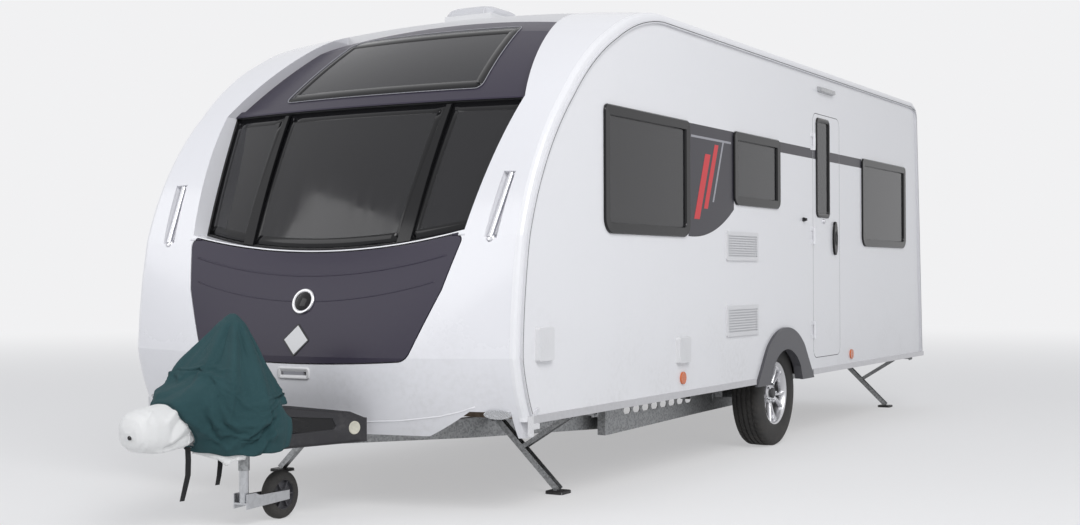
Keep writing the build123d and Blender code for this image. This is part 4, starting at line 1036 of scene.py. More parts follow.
@dataclass(frozen=True)
class Cloth(Finish):
    """Woven fabric with a soft sheen."""

    pitch: float = 0.0022
    sheen: float = 0.25
    fade: float = 0.35

    def wire(self, w: Wiring, shader: bpy.types.Node) -> None:
        """Threads with a painted highlight on their tops, faded patches and creases.

        Args:
            w: Wiring of the material.
            shader: Its shader.
        """
        group = w.node("Group", node_tree=weave_effect())
        group.inputs["Pitch"].default_value = self.pitch
        pale = tuple(min(1.0, c * 1.7 + 0.006) for c in self.colour)
        fade = w.maths("MULTIPLY", w.noise(7.0, 5), self.fade)
        faded = w.blend(fade, (*self.colour, 1), (*pale, 1))
        # Painted highlight: the thread tops are made paler, as if they caught the light.
        tone = w.blend(w.maths("MULTIPLY", group.outputs["Lit_Tops"], 0.25), faded, (*pale, 1))
        w.tree.links.new(tone, shader.inputs["Base Color"])
        shader.inputs["Sheen Weight"].default_value = self.sheen
        shader.inputs["Specular IOR Level"].default_value = 0.2
        creases = w.maths("ADD", w.maths("MULTIPLY", w.noise(28.0, 4), 3.0), group.outputs["Height"])
        self.bumped(w, shader, creases, 0.5, 0.0009)


@dataclass(frozen=True)
class Lens(Finish):
    """Ribbed lamp lens."""

    through: float = 0.6
    pitch: float = 0.008

    def wire(self, w: Wiring, shader: bpy.types.Node) -> None:
        """Ribs under a clear skin.

        Args:
            w: Wiring of the material.
            shader: Its shader.
        """
        shader.inputs["Transmission Weight"].default_value = self.through
        shader.inputs["Coat Weight"].default_value = 0.6
        x, y, _ = w.axes()
        ribs = w.maths("SINE", w.maths("MULTIPLY", w.maths("ADD", x, y), 2 * math.pi / self.pitch))
        self.bumped(w, shader, ribs, 0.4, 0.001)


@dataclass(frozen=True)
class Timber(Finish):
    """Laminated board with a grain along x."""

    def wire(self, w: Wiring, shader: bpy.types.Node) -> None:
        """Long streaks of grain.

        Args:
            w: Wiring of the material.
            shader: Its shader.
        """
        streaks = w.noise(4.0, 6, w.place((1.0, 14.0, 14.0)))
        dark = tuple(c * 0.6 for c in self.colour)
        tone = w.blend(w.ramp(streaks, (0.3, 0.7)), (*self.colour, 1), (*dark, 1))
        w.tree.links.new(tone, shader.inputs["Base Color"])
        self.bumped(w, shader, streaks, 0.2, 0.0006)


WHITE_PANEL = Gelcoat("white_gelcoat", (0.78, 0.78, 0.81), 0.26, film=0.22)
WHITE_SKIN = Gelcoat("white_wall_skin", (0.8, 0.8, 0.82), 0.3, film=0.2)
SLATE_PANEL = Gelcoat("slate_gelcoat", (0.036, 0.031, 0.050), 0.36, film=0.04, coat=0.03, gloss=0.22)
ROOF_SKIN = Gelcoat("roof_skin", (0.74, 0.74, 0.75), 0.4, film=0.4, coat=0.1)
BLACK_GLOSS = Plastic("black_gloss", (0.008, 0.008, 0.009), 0.12, grain=0.04, film=0.04)
BLACK_TRIM = Plastic("black_trim", (0.018, 0.018, 0.02), 0.45, grain=0.3)
ARCH_GREY = Plastic("arch_grey", (0.07, 0.07, 0.08), 0.32, grain=0.12, film=0.3)
FAIRING_BLACK = Plastic("fairing_plastic", (0.022, 0.022, 0.026), 0.42, grain=0.35, scale=350, film=0.2)
WHITE_PLASTIC = Plastic("white_plastic", (0.72, 0.72, 0.73), 0.4, grain=0.1, film=0.2)
CREAM_SHADE = Plastic("blind_cream", (0.42, 0.41, 0.4), 0.7, grain=0.2, film=0.05)
PALE_PLASTIC = Plastic("pale_disc", (0.62, 0.6, 0.5), 0.4, grain=0.1, film=0.3)
RED_FILM = Plastic("red_film", (0.62, 0.02, 0.03), 0.3, grain=0.05, film=0.05)
SLATE_FILM = Plastic("slate_film", (0.028, 0.026, 0.036), 0.28, grain=0.05, film=0.05)
# Grey for the printed graphics and for the painted shade in the lid pull's well.
GREY_FILM_AND_SHADE = Plastic("grey_film_and_shade", (0.32, 0.32, 0.35), 0.3, grain=0.05, film=0.05)
WINDOW_SMOKE = SmokedGlass("window_smoke", (0.045, 0.045, 0.052), 0.04)
SKY_SMOKE = SmokedGlass("skylight_smoke", (0.02, 0.02, 0.026), 0.05, through=0.45)
DOME_SMOKE = SmokedGlass("dome_smoke", (0.74, 0.74, 0.77), 0.2, through=0.2)
RAIL_METAL = Metal("rail_aluminium", (0.62, 0.62, 0.64), 0.4, spangle=0.08)
RAIL_WHITE = Plastic("rail_white", (0.7, 0.7, 0.72), 0.35, grain=0.08, film=0.25)
HANDLE_SILVER = Metal("handle_silver", (0.66, 0.66, 0.69), 0.3, spangle=0.05)
GALVANISED = Metal("galvanised", (0.42, 0.43, 0.44), 0.5, spangle=0.75, scale=110)
HITCH_PAINT = Plastic("hitch_paint", (0.02, 0.02, 0.022), 0.4, grain=0.2, film=0.4)
ALLOY = Metal("machined_alloy", (0.62, 0.62, 0.64), 0.3, spangle=0.05)
ALLOY_DARK = Plastic("alloy_pocket", (0.05, 0.05, 0.055), 0.4, grain=0.1, film=0.4)
ZINC = Metal("zinc_bright", (0.55, 0.56, 0.58), 0.35, spangle=0.2)
RUBBER = Tread("tyre_rubber", (0.02, 0.02, 0.021), 0.75)
# Black for the rubber seals and for the painted shade in the awning rails' channels.
SEAL_AND_SHADE = Plastic("seal_rubber_and_shade", (0.012, 0.012, 0.013), 0.6, grain=0.2, film=0.2)
GREEN_CLOTH = Cloth("cover_green", (0.020, 0.054, 0.060), 0.9, sheen=0.03, fade=0.6)
WHITE_VINYL = Cloth("cover_white", (0.8, 0.8, 0.79), 0.5, pitch=0.0012, sheen=0.05, fade=0.1)
SEAT_CLOTH = Cloth("seat_cloth", (0.3, 0.27, 0.24), 0.85)
WEBBING = Cloth("strap_webbing", (0.012, 0.012, 0.013), 0.8, pitch=0.0016)
AMBER = Lens("amber_lens", (0.8, 0.16, 0.02), 0.2, through=0.2)
RED_LENS = Lens("red_lens", (0.55, 0.01, 0.012), 0.2, through=0.2)
CLEAR_LENS = Lens("clear_lens", (0.75, 0.76, 0.78), 0.12, through=0.5)
OAK = Timber("oak_laminate", (0.3, 0.19, 0.11), 0.45)
FLOOR_BOARD = Timber("floor_board", (0.17, 0.12, 0.08), 0.6)


# Body panels


@dataclass
class BodyPanels:
    """Walls, mouldings and roof with their graphics and rails."""

    film: float = 0.0006
    groove: float = 0.0035
    groove_height: float = 0.0122
    groove_steps: int = 180
    middle: Flat = (-0.6, 1.1)
    field_top: tuple = ((0.148, 1.462), (0.148, STRIPE_HIGH), (0.776, STRIPE_HIGH))
    field_foot: tuple = ((0.776, 1.2652), (0.47, 1.293), (0.148, 1.43))
    bar_lean: float = 0.42
    # Foot, width, low end, high end and finish of each slanting bar.
    bars: tuple = (
        (0.63, 0.072, 1.36, 1.72, RED_FILM),
        (0.52, 0.052, 1.42, 1.78, RED_FILM),
        (0.435, 0.02, 1.46, 1.80, GREY_FILM_AND_SHADE),
    )
    finishes: tuple = (
        (WHITE_SKIN, "side_wall_left", "side_wall_right"),
        (WHITE_PANEL, "front_moulding", "rear_panel", "rear_bumper"),
        (ROOF_SKIN, "roof_panel"),
        (SLATE_PANEL, "front_upper_panel"),
        (RAIL_WHITE, "awning_rails"),
        (RAIL_METAL, "bottom_rails"),
        (WHITE_PLASTIC, "rail_caps", "locker_bulkhead", "fridge_vents", "service_hatches", "rooflight_frames"),
        (ARCH_GREY, "arch_trims"),
        (BLACK_TRIM, "wheel_boxes"),
        (FLOOR_BOARD, "floor_panel"),
        (AMBER, "side_reflectors"),
        (CLEAR_LENS, "awning_lamp"),
        (DOME_SMOKE, "rooflight_lid_front", "rooflight_lid_rear"),
        (OAK, "cabin_furniture"),
        (RED_LENS, "rear_lamps"),
    )

    def decal(self, name: str, side: Side, outline: Sequence[Flat], finish: Finish, layer: int = 1) -> None:
        """Lay a film on a wall.

        Args:
            name: Name of the piece.
            side: The wall.
            outline: The film's outline.
            finish: What it is made of.
            layer: 1 on the wall itself, 2 on another film.
        """
        low, high = self.film * (layer - 1), self.film * layer
        Build().slab(outline, WALLS[side], low, high).piece(f"{name}_{side.tag}", finish, smooth=False)

    def graphics(self, side: Side) -> None:
        """Dark field with its slanting bars behind the front window, and the long stripe.

        Args:
            side: The wall they lie on.
        """
        field_outline = [*self.field_top, *arc_through(*self.field_foot, 16)]
        self.decal("graphic_field", side, list(reversed(field_outline)), SLATE_FILM)
        for number, (x, width, low, high, finish) in enumerate(self.bars):
            lean = (high - low) * self.bar_lean
            bar = [(x, low), (x + width, low), (x + width - lean, high), (x - lean, high)]
            self.decal(f"graphic_bar_{number}", side, bar, finish, 2)
        self.decal("graphic_shelf", side, box_outline(0.19, 0.74, 1.80, 1.812), GREY_FILM_AND_SHADE, 2)
        ends = [(-0.572, -1.176), (-1.707, -2.184)] if side is Side.LEFT else [(-0.572, -2.184)]
        for number, (front, rear) in enumerate(ends):
            self.decal(f"stripe_{number}", side, box_outline(rear, front, STRIPE_LOW, STRIPE_HIGH), SLATE_FILM)

    def rail_groove(self, side: Side) -> None:
        """Black strip down the middle of the awning rail, as painted shade inside its channel.

        Args:
            side: The wall whose rail it runs along.
        """
        skin = Skin("awning_rails")
        wall = WALLS[side]((0, 0), 0.006).y
        line = []
        for k in range(self.groove_steps + 1):
            turn = math.radians(-12 + 204 * k / self.groove_steps)
            run = (math.cos(turn), 0, math.sin(turn))
            start = Vector((self.middle[0], wall, self.middle[1])) + 5.0 * Vector(run)
            found = skin.hit(start, [-c for c in run])
            if found is not None:
                rim = found[0] - found[1] * 0.008
                line.append(Vector((rim.x, 0, rim.z)))
        rows = []
        for i, p in enumerate(line):
            run = (line[min(i + 1, len(line) - 1)] - line[max(i - 1, 0)]).normalized()
            across = Vector((-run.z, 0, run.x)) * self.groove / 2
            rows.append([WALLS[side]((q.x, q.z), self.groove_height) for q in (p - across, p + across)])
        # Painted shade: the black strip stands for the shade inside the rail's channel.
        Build().grid(rows).piece(f"rail_groove_{side.tag}", SEAL_AND_SHADE, slot="rail_aluminium")

    def build(self) -> None:
        """Dress the panels and add what lies on them."""
        for finish, *nodes in self.finishes:
            dress(finish, *nodes)
        for side in Side:
            self.graphics(side)
            self.rail_groove(side)


# Windows in the walls


@dataclass
class Windows:
    """Framed panes with their blinds in the side walls."""

    border: float = 0.046
    proud: float = 0.012
    upper_radius: float = 0.028
    # Name, rear end, front end, bottom and lower corner radius.
    panes: tuple = (
        ("front", 0.776, 1.745, 1.265, 0.070),
        ("kitchen", -0.564, 0.148, 1.464, 0.045),
        ("rear", -3.240, -2.192, 1.262, 0.070),
    )
    lining: tuple = ((0.004, -0.03), (0.05, -0.034), (0.05, -0.05))
    blind_back: float = -0.052
    blind_front: float = -0.042

    def section(self) -> tuple:
        """Section of a frame: how far in from its edge, and how high."""
        return (
            (-0.007, 0.0),
            (-0.007, self.proud - 0.005),
            (-0.002, self.proud),
            (self.border - 0.004, self.proud - 0.001),
            (self.border, self.proud - 0.006),
            (self.border, -0.018),
        )

    def build(self) -> None:
        """Frame every pane and hang its blind."""
        dress(WINDOW_SMOKE, "cabin_windows")
        for side in Side:
            wall = WALLS[side]
            for name, rear, front, bottom, radius in self.panes:
                radii = (radius, radius, self.upper_radius, self.upper_radius)
                outline = cornered(rear, front, bottom, STRIPE_HIGH, radii, 8)
                tag = f"{name}_{side.tag}"
                ring = Build().rim(outline, self.section(), wall)
                ring.piece(f"window_frame_{tag}", BLACK_GLOSS, slot="black_gloss", sharp=40)
                Build().rim(outline, self.lining, wall).piece(f"window_lining_{tag}", CREAM_SHADE)
                blind = Build()
                slats = [(STRIPE_HIGH - 0.075 + 0.018 * k, 0.014) for k in range(3)] + [(bottom + 0.03, 0.02)]
                for z, tall in slats:
                    slat = box_outline(rear + 0.05, front - 0.05, z, z + tall)
                    blind.slab(slat, wall, self.blind_back, self.blind_front)
                blind.piece(f"window_blind_{tag}", CREAM_SHADE, smooth=False)


# Bowed front


@dataclass
class FrontView:
    """Lines of the bowed front as seen along x."""

    foot: float = 1.178
    foot_radius: float = 3.8
    half_foot: float = 0.805
    half_top: float = 0.906
    brow: float = 1.890
    mullion_foot: float = 0.462
    mullion_top: float = 0.493

    def arc(self, y: float) -> float:
        """Height of the screen's curved foot."""
        return self.foot + y * y / (2 * self.foot_radius)

    def pane(self, foot_a: float, top_a: float, foot_b: float, top_b: float, inset: float) -> list[Flat]:
        """Outline of a pane between two leaning sides.

        Args:
            foot_a: Where the first side meets the foot.
            top_a: Where it meets the brow.
            foot_b: Where the second side meets the foot.
            top_b: Where it meets the brow.
            inset: How far the outline is drawn in.

        Returns:
            The outline's points, from the foot of the first side.
        """
        low = [foot_a + (foot_b - foot_a) * k / 12 for k in range(13)]
        outline = [(y, self.arc(y)) for y in low] + [(top_b, self.brow), (top_a, self.brow)]
        return shrink(fine(outline, 0.05), inset)


@dataclass
class Glazing:
    """Windscreen panes, mullions and skylight in the dark upper front."""

    view: FrontView
    skin: Skin
    border: float = 0.042
    lift: float = 0.0012
    skylight_corners: tuple = ((-0.592, 1.961), (0.592, 1.961), (0.519, 2.326), (-0.519, 2.326))
    skylight_section: tuple = ((-0.006, 0.0), (-0.004, 0.004), (0.036, 0.004), (0.040, 0.0))

    def build(self) -> None:
        """Border each pane and the skylight."""
        dress(WINDOW_SMOKE, "front_windows")
        dress(BLACK_GLOSS, "front_mullions")
        dress(SKY_SMOKE, "skylight")
        v = self.view
        section = ((0, 0.0), (0, self.lift), (self.border, self.lift), (self.border + 0.004, 0.0))
        for name, sides in (
            ("centre", (-v.mullion_foot, -v.mullion_top, v.mullion_foot, v.mullion_top)),
            ("left", (v.mullion_foot, v.mullion_top, v.half_foot, v.half_top)),
            ("right", (-v.half_foot, -v.half_top, -v.mullion_foot, -v.mullion_top)),
        ):
            band = Build().rim(v.pane(*sides, 0.012), section, self.skin.over)
            band.piece(f"screen_border_{name}", BLACK_GLOSS, slot="black_gloss")
        rim = v.pane(-v.half_foot, -v.half_top, v.half_foot, v.half_top, 0.004)
        Build().tube([self.skin.over(p, 0.001) for p in rim], 0.006, closed=True).piece("screen_seal", SEAL_AND_SHADE)
        self.skylight()

    def skylight(self) -> None:
        """Black border and thin pale line round the skylight."""
        outline = fine(soft_corners(self.skylight_corners, 0.03), 0.05)
        band = Build().rim(outline, self.skylight_section, self.skin.over)
        band.piece("skylight_border", BLACK_GLOSS, slot="black_gloss")
        path = [self.skin.over(p, 0.0035) for p in shrink(outline, -0.008)]
        Build().tube(path, 0.0022, closed=True).piece("skylight_line", GREY_FILM_AND_SHADE)


@dataclass
class LockerLid:
    """Gas locker lid with its swages, blank badge, blank plate and lock."""

    skin: Skin
    body: str = "gas_locker_lid"
    badge: Flat = (0.0, 0.940)
    badge_radius: float = 0.062
    plate: Flat = (0.0, 0.764)
    plate_half: float = 0.078
    lock: Flat = (-0.30, 0.735)
    # Name, radius, half width, height at the ends and height in the middle.
    swages: tuple = (
        ("upper", 0.006, 0.735, 1.150, 1.059),
        ("lower", 0.004, 0.70, 1.032, 0.940),
    )
    lock_section: tuple = ((0, 0.008), (0.006, 0.008), (0.0065, 0.011), (0.013, 0.011), (0.016, 0.007), (0.016, -0.004))

    def place(self, spot: Flat) -> Matrix:
        """Placement whose z axis leaves the lid.

        Args:
            spot: Its place in the front view.

        Returns:
            The placement.
        """
        out = self.skin.out(*spot, 0.05)
        across = Vector((0, 1, 0)).cross(out).normalized()
        side = out.cross(across).normalized()
        origin = self.skin.front(*spot)
        return Matrix.Translation(origin) @ Matrix((side, -across, out)).transposed().to_4x4()

    def badges(self) -> None:
        """Blank round badge and blank diamond plate."""
        r = self.badge_radius
        edge = ((0, 0.007), (r * 0.78, 0.007), (r * 0.82, 0.010), (r * 0.95, 0.010), (r, 0.006), (r, -0.006))
        silver = Metal("badge_silver", (0.7, 0.7, 0.72), 0.3, spangle=0.05)
        Build().lathe(edge, self.place(self.badge), 64).piece("lid_badge", silver, self.body)
        well = ((0, 0.0078), (r * 0.74, 0.0078), (r * 0.76, 0.006))
        Build().lathe(well, self.place(self.badge), 64).piece("lid_badge_field", BLACK_GLOSS, self.body)
        seat = self.place(self.plate)
        h = self.plate_half
        diamond = soft_corners([(-h, 0), (0, -h), (h, 0), (0, h)], 0.008)
        for name, inset, low, high, finish in (
            ("lid_plate_edge", 0.0, -0.002, 0.002, BLACK_TRIM),
            ("lid_plate", 0.007, 0.0, 0.003, WHITE_PLASTIC),
        ):
            made = Build().slab(shrink(diamond, inset), lambda p, t: seat @ Vector((*p, t)), low, high)
            made.piece(name, finish, self.body, smooth=False)

    def build(self) -> None:
        """Dress the lid and fix what it carries."""
        dress(SLATE_PANEL, "locker_lid")
        for name, radius, half, end, middle in self.swages:
            line = divided(arc_through((-half, end), (0.0, middle), (half, end), 20), 0.04)
            path = [self.skin.over(p, -radius * 0.55) for p in line]
            Build().tube(path, radius, sides=10).piece(f"lid_swage_{name}", SLATE_PANEL, self.body)
        self.badges()
        Build().lathe(self.lock_section, self.place(self.lock), 32).piece("lid_lock", BLACK_GLOSS, self.body)


@dataclass
class RearFittings:
    """Blank number plate on the rear bumper."""

    half: float = 0.26
    low: float = 0.447
    high: float = 0.557

    def build(self) -> None:
        """Fix the plate where the bumper carries it."""
        skin = Skin("rear_bumper")
        outline = fine(cornered(-self.half, self.half, self.low, self.high, (0.012,) * 4, 4), 0.06)
        place = skin.hit((-5, 0, (self.low + self.high) / 2), (1, 0, 0))[0].x
        for name, inset, back, front, finish in (
            ("rear_plate_holder", 0.0, -0.004, 0.0016, BLACK_TRIM),
            ("rear_plate", 0.006, 0.0, 0.0030, WHITE_PLASTIC),
        ):
            made = Build().slab(shrink(outline, inset), lambda p, t: Vector((place - t, *p)), back, front)
            made.piece(name, finish, smooth=False, bevel=0.0008)


@dataclass
class NoseFittings:
    """Grab handles, marker lamps and the bumper's pull on the white moulding."""

    skin: Skin
    foot: Point = (2.499, 0.952, 1.219)
    head: Point = (2.359, 0.980, 1.509)
    crease: tuple = ((0.30, 0.398), (0.544, 0.412), (0.740, 0.438), (0.840, 0.462), (0.905, 0.485))
    pull: tuple = (-0.092, 0.092, 0.585, 0.640)
    pull_section: tuple = ((0.0, -0.001), (0.001, 0.005), (0.006, 0.007), (0.012, 0.004), (0.020, 0.001))
    well_lift: float = 0.0012
    handle_foot: tuple = ((0, 0.024), (0.014, 0.024), (0.02, 0.018), (0.024, 0.004), (0.027, 0.0), (0.027, -0.004))

    def lid_pull(self) -> None:
        """Rim under the locker lid, and a grey sheet over its shallow well as painted shade."""
        skin = self.skin
        plate = fine(cornered(*self.pull, (0.016,) * 4, 5), 0.03)
        rim = Build().rim(plate, self.pull_section, skin.over)
        rim.piece("lid_pull_rim", WHITE_PLASTIC, slot="white_plastic")
        # Painted shade: a flat grey sheet fills the pull's well, standing in for the shade inside it.
        inner = shrink(plate, 0.018)
        core = [(0.85 * y, 0.612) for y, _ in inner]
        rows = [[skin.over(p, self.well_lift) for p in loop] for loop in (inner, core)]
        Build().grid(rows, closed=True).piece("lid_pull_well_shade", GREY_FILM_AND_SHADE)

    def build(self) -> None:
        """Dress the fittings, add feet to the handles and the bumper's lines."""
        for side in Side:
            path = [self.skin.front(side.value * y, z, -0.0015) for y, z in divided(self.crease, 0.03)]
            Build().tube(path, 0.004, sides=10).piece(f"bumper_crease_{side.tag}", WHITE_PANEL)
        self.lid_pull()
        dress(HANDLE_SILVER, "grab_handles")
        dress(CLEAR_LENS, "front_markers")
        for side in Side:
            ends = [Vector((x, side.value * y, z)) for x, y, z in (self.foot, self.head)]
            run = (ends[1] - ends[0]).normalized()
            out = run.cross(Vector((0, 1, 0))).normalized()
            if out.x < 0:
                out = -out
            made = Build()
            for end in ends:
                made.lathe(self.handle_foot, facing(end - out * 0.006, out), 28)
            made.piece(f"handle_feet_{side.tag}", HANDLE_SILVER, slot="handle_silver")


# Door


@dataclass
class Door:
    """Entrance door with its narrow window, handle and lock."""

    front: float = -1.180
    rear: float = -1.703
    bottom: float = 0.519
    top: float = 2.107
    window: tuple = (-1.480, -1.254, 1.450, 2.066)
    window_section: tuple = ((-0.02, 0.0), (-0.018, 0.006), (-0.004, 0.008), (0.008, 0.006), (0.01, -0.004))
    film: float = 0.0006
    handle: Flat = (-1.593, 1.300)
    grip_section: tuple = ((0.0, 0.016), (0.004, 0.019), (0.009, 0.019), (0.012, 0.016))
    lock: Flat = (-1.381, 1.408)
    lock_section: tuple = ((0, 0.009), (0.005, 0.009), (0.0055, 0.012), (0.012, 0.011), (0.015, 0.006), (0.015, -0.002))

    def leaf(self) -> None:
        """Seal round the leaf, frame round its window, and its share of the stripe."""
        outline = cornered(self.rear, self.front, self.bottom, self.top, (0.058,) * 4, 8)
        path = [on_left_wall(p, -0.002) for p in shrink(fine(outline, 0.1), -0.002)]
        Build().tube(path, 0.0022, closed=True).piece("door_seal", SEAL_AND_SHADE)
        pane = cornered(*self.window, (0.022,) * 4, 6)
        ring = Build().rim(pane, self.window_section, on_left_wall)
        ring.piece("door_window_frame", BLACK_GLOSS, "door", "black_gloss")
        stripe = Build()
        rear, front = self.window[:2]
        for x0, x1 in ((self.rear + 0.003, rear - 0.021), (front + 0.021, self.front - 0.003)):
            stripe.slab(box_outline(x0, x1, STRIPE_LOW, STRIPE_HIGH), on_left_wall, 0, self.film)
        stripe.piece("door_stripe", SLATE_FILM, "door", smooth=False)

    def build(self) -> None:
        """Dress the leaf and add its furniture."""
        dress(WHITE_SKIN, "door_leaf")
        dress(WINDOW_SMOKE, "door_glass")
        dress(BLACK_GLOSS, "door_handle")
        self.leaf()
        x, z = self.handle
        oval = [(x + 0.022 * math.cos(t), z + 0.05 * math.sin(t)) for t in turns(40)]
        grip = Build().rim(oval, self.grip_section, on_left_wall)
        grip.piece("door_grip", BLACK_TRIM, "door", "black_gloss")
        place = sideways(on_left_wall(self.lock, 0), Side.LEFT)
        Build().lathe(self.lock_section, place, 28).piece("door_lock", HANDLE_SILVER, "door")
        keep = Build().slab(rounded_at(-0.999, 1.409, 0.05, 0.026, 0.012), on_left_wall, 0, 0.007)
        keep.box((-1.012, WALL_Y + 0.005, 1.400), (-0.986, WALL_Y + 0.022, 1.418))
        keep.piece("door_keep", BLACK_TRIM, bevel=0.002)


# Wheels


@dataclass
class Wheel:
    """Road wheel: grooved tyre, twin-spoke rim and bolts."""

    side: Side
    middle: Point
    radius: float = 0.325
    half: float = 0.0925
    rim: float = 0.193
    steps: int = 288
    grooves: tuple = (-0.045, -0.015, 0.015, 0.045)
    groove_section: tuple = ((-0.0055, 0), (-0.004, 0.007), (0.004, 0.007), (0.0055, 0))
    # Tyre wall: in from the outer face, out from the rim.
    wall: tuple = ((0.016, 0), (0.010, 0.006), (0.004, 0.018), (0, 0.044), (0.001, 0.07))
    # Tyre shoulder: in from the outer face, in from the tread.
    shoulder: tuple = ((0.004, 0.036), (0.008, 0.022), (0.014, 0.011), (0.022, 0.005))
    cut: float = 0.005
    lugs: float = 130
    lug_steps: int = 6
    rim_section: tuple = (
        (0.193, 0.0785), (0.189, 0.0785), (0.184, 0.076), (0.180, 0.070), (0.176, 0.060), (0.171, 0.045),
        (0.168, 0.020), (0.167, -0.020), (0.172, -0.060), (0.180, -0.0785), (0.193, -0.0785), (0.193, -0.071),
        (0.184, -0.060), (0.178, -0.020), (0.178, 0.020), (0.184, 0.060), (0.193, 0.071),
    )
    hub_section: tuple = (
        (0.0, 0.050), (0.030, 0.050), (0.060, 0.049), (0.068, 0.044), (0.070, 0.036), (0.066, 0.012), (0.0, 0.012),
    )
    # Share of the way out, radius, front height, depth and half width.
    spoke_section: tuple = (
        (0.0, 0.055, 0.046, 0.024, 0.0095),
        (0.25, 0.085, 0.051, 0.024, 0.0080),
        (0.5, 0.115, 0.056, 0.023, 0.0075),
        (0.8, 0.145, 0.062, 0.022, 0.0080),
        (1.0, 0.170, 0.066, 0.022, 0.0100),
        (1.05, 0.179, 0.067, 0.020, 0.0120),
    )
    well_section: tuple = ((0.0, 0.012), (0.06, 0.012), (0.12, 0.004), (0.164, 0.0), (0.167, -0.012), (0.0, -0.012))
    rivet_section: tuple = ((0.0, 0.003), (0.006, 0.003), (0.008, 0.0), (0.0, 0.0))
    bolt_section: tuple = ((0, 0.014), (0.007, 0.014), (0.0085, 0.012), (0.0085, 0.0), (0.0, 0.0))
    cap_section: tuple = ((0, 0.008), (0.02, 0.0075), (0.029, 0.005), (0.031, 0.0), (0.031, -0.012))

    @property
    def body(self) -> str:
        """The body that turns."""
        return f"wheel_{self.side.tag}"

    def profile(self) -> list[Flat]:
        """Section of the tyre as (distance from the mid plane, radius)."""
        r = self.radius
        side = [(-self.half + inward, self.rim + out) for inward, out in self.wall]
        side += [(-self.half + inward, r - drop) for inward, drop in self.shoulder]
        tread = [(x, r) for x in (-0.066, -0.058, -0.052, -0.03, 0.0, 0.03, 0.052, 0.058, 0.066)]
        for groove in self.grooves:
            tread += [(groove + x, r - deep) for x, deep in self.groove_section]
        crown = [(x, q - 0.0025 * (x / 0.07) ** 2) for x, q in sorted(tread)]
        return side + crown + [(-x, q) for x, q in reversed(side)]

    def depth(self, step: int, across: float, r: float) -> float:
        """How deep a cross cut is at a point of the tread.

        Args:
            step: Number of the row around the tyre.
            across: Distance from the mid plane.
            r: Radius of the point.

        Returns:
            The depth, 0 between the cuts.
        """
        on_tread = r > self.radius - 0.02 and abs(across) > 0.018
        in_cut = (step + int(across * self.lugs) * self.side.value) % self.lug_steps == 0
        return self.cut if on_tread and in_cut else 0.0

    def build(self) -> None:
        """Replace the plain tyre and rim and dress the hub."""
        tag = self.side.tag
        section = self.profile()
        x, y, z = self.middle
        rows = []
        for k, t in enumerate(turns(self.steps)):
            row = []
            for across, r in section:
                q = r - self.depth(k, across, r)
                row.append((x + q * math.cos(t), y + across, z + q * math.sin(t)))
            rows.append(row)
        tyre = Build().grid(rows, ring=True).piece(f"tyre_tread_{tag}", RUBBER, self.body, "tyre_rubber", sharp=50)
        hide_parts(f"tyre_{tag}")
        self.alloy()
        dress(HITCH_PAINT, f"hub_{tag}")
        self.bolts()

    def spoke(self, number: int, place: Matrix) -> list[list[Vector]]:
        """Rows of points along one spoke.

        Args:
            number: Number of the spoke; two and two lean together.
            place: Placement of the wheel.

        Returns:
            One closed row for each entry of the spoke's section.
        """
        pair = 2 * math.pi * (number // 2) / 5 + math.radians(90)
        lean = 1 if number % 2 else -1
        rows = []
        for share, r, front, deep, half in self.spoke_section:
            t = pair + lean * math.radians(5.5 + 8.0 * share)
            out = Vector((math.cos(t), math.sin(t), 0))
            across = Vector((-math.sin(t), math.cos(t), 0))
            edge = ((1.25, front - deep), (1.1, front - 0.006), (0.7, front))
            both = [(-half * wide, high) for wide, high in edge]
            both += [(half * wide, high) for wide, high in reversed(edge)]
            rows.append([place @ (out * r + across * a + Vector((0, 0, high))) for a, high in both])
        return rows

    def alloy(self) -> None:
        """Bright rim with five pairs of spokes over a dark well."""
        tag = self.side.tag
        place = sideways(self.middle, self.side)
        rim = Build().lathe(self.rim_section, place, 96).lathe(self.hub_section, place, 60)
        hoop = rim.piece(f"rim_hoop_{tag}", ALLOY, self.body, "rim_alloy", sharp=40)
        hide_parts(f"rim_{tag}")
        spokes = Build()
        for number in range(10):
            spokes.grid(self.spoke(number, place), closed=True)
        spokes.piece(f"rim_spokes_{tag}", ALLOY, self.body, "rim_alloy", sharp=40)
        well = Build().lathe(self.well_section, place, 64)
        for t in turns(12):
            spot = Vector((0.14 * math.cos(t), 0.14 * math.sin(t), 0.001))
            well.lathe(self.rivet_section, place @ Matrix.Translation(spot), 10)
        well.piece(f"rim_well_{tag}", ALLOY_DARK, self.body)

    def bolts(self) -> None:
        """Five wheel bolts and a blank centre cap."""
        x, y, z = self.middle
        s = self.side.value
        made = Build()
        for k in range(5):
            t = 2 * math.pi * k / 5 + math.radians(36)
            spot = Vector((x + 0.056 * math.cos(t), y + s * 0.050, z + 0.056 * math.sin(t)))
            made.lathe(self.bolt_section, sideways(spot, self.side), 6)
        made.piece(f"wheel_bolts_{self.side.tag}", ZINC, self.body, smooth=False)
        cap = Build().lathe(self.cap_section, sideways((x, y + s * 0.062, z), self.side), 40)
        cap.piece(f"wheel_cap_{self.side.tag}", ALLOY_DARK, self.body)


# Chassis and steadies


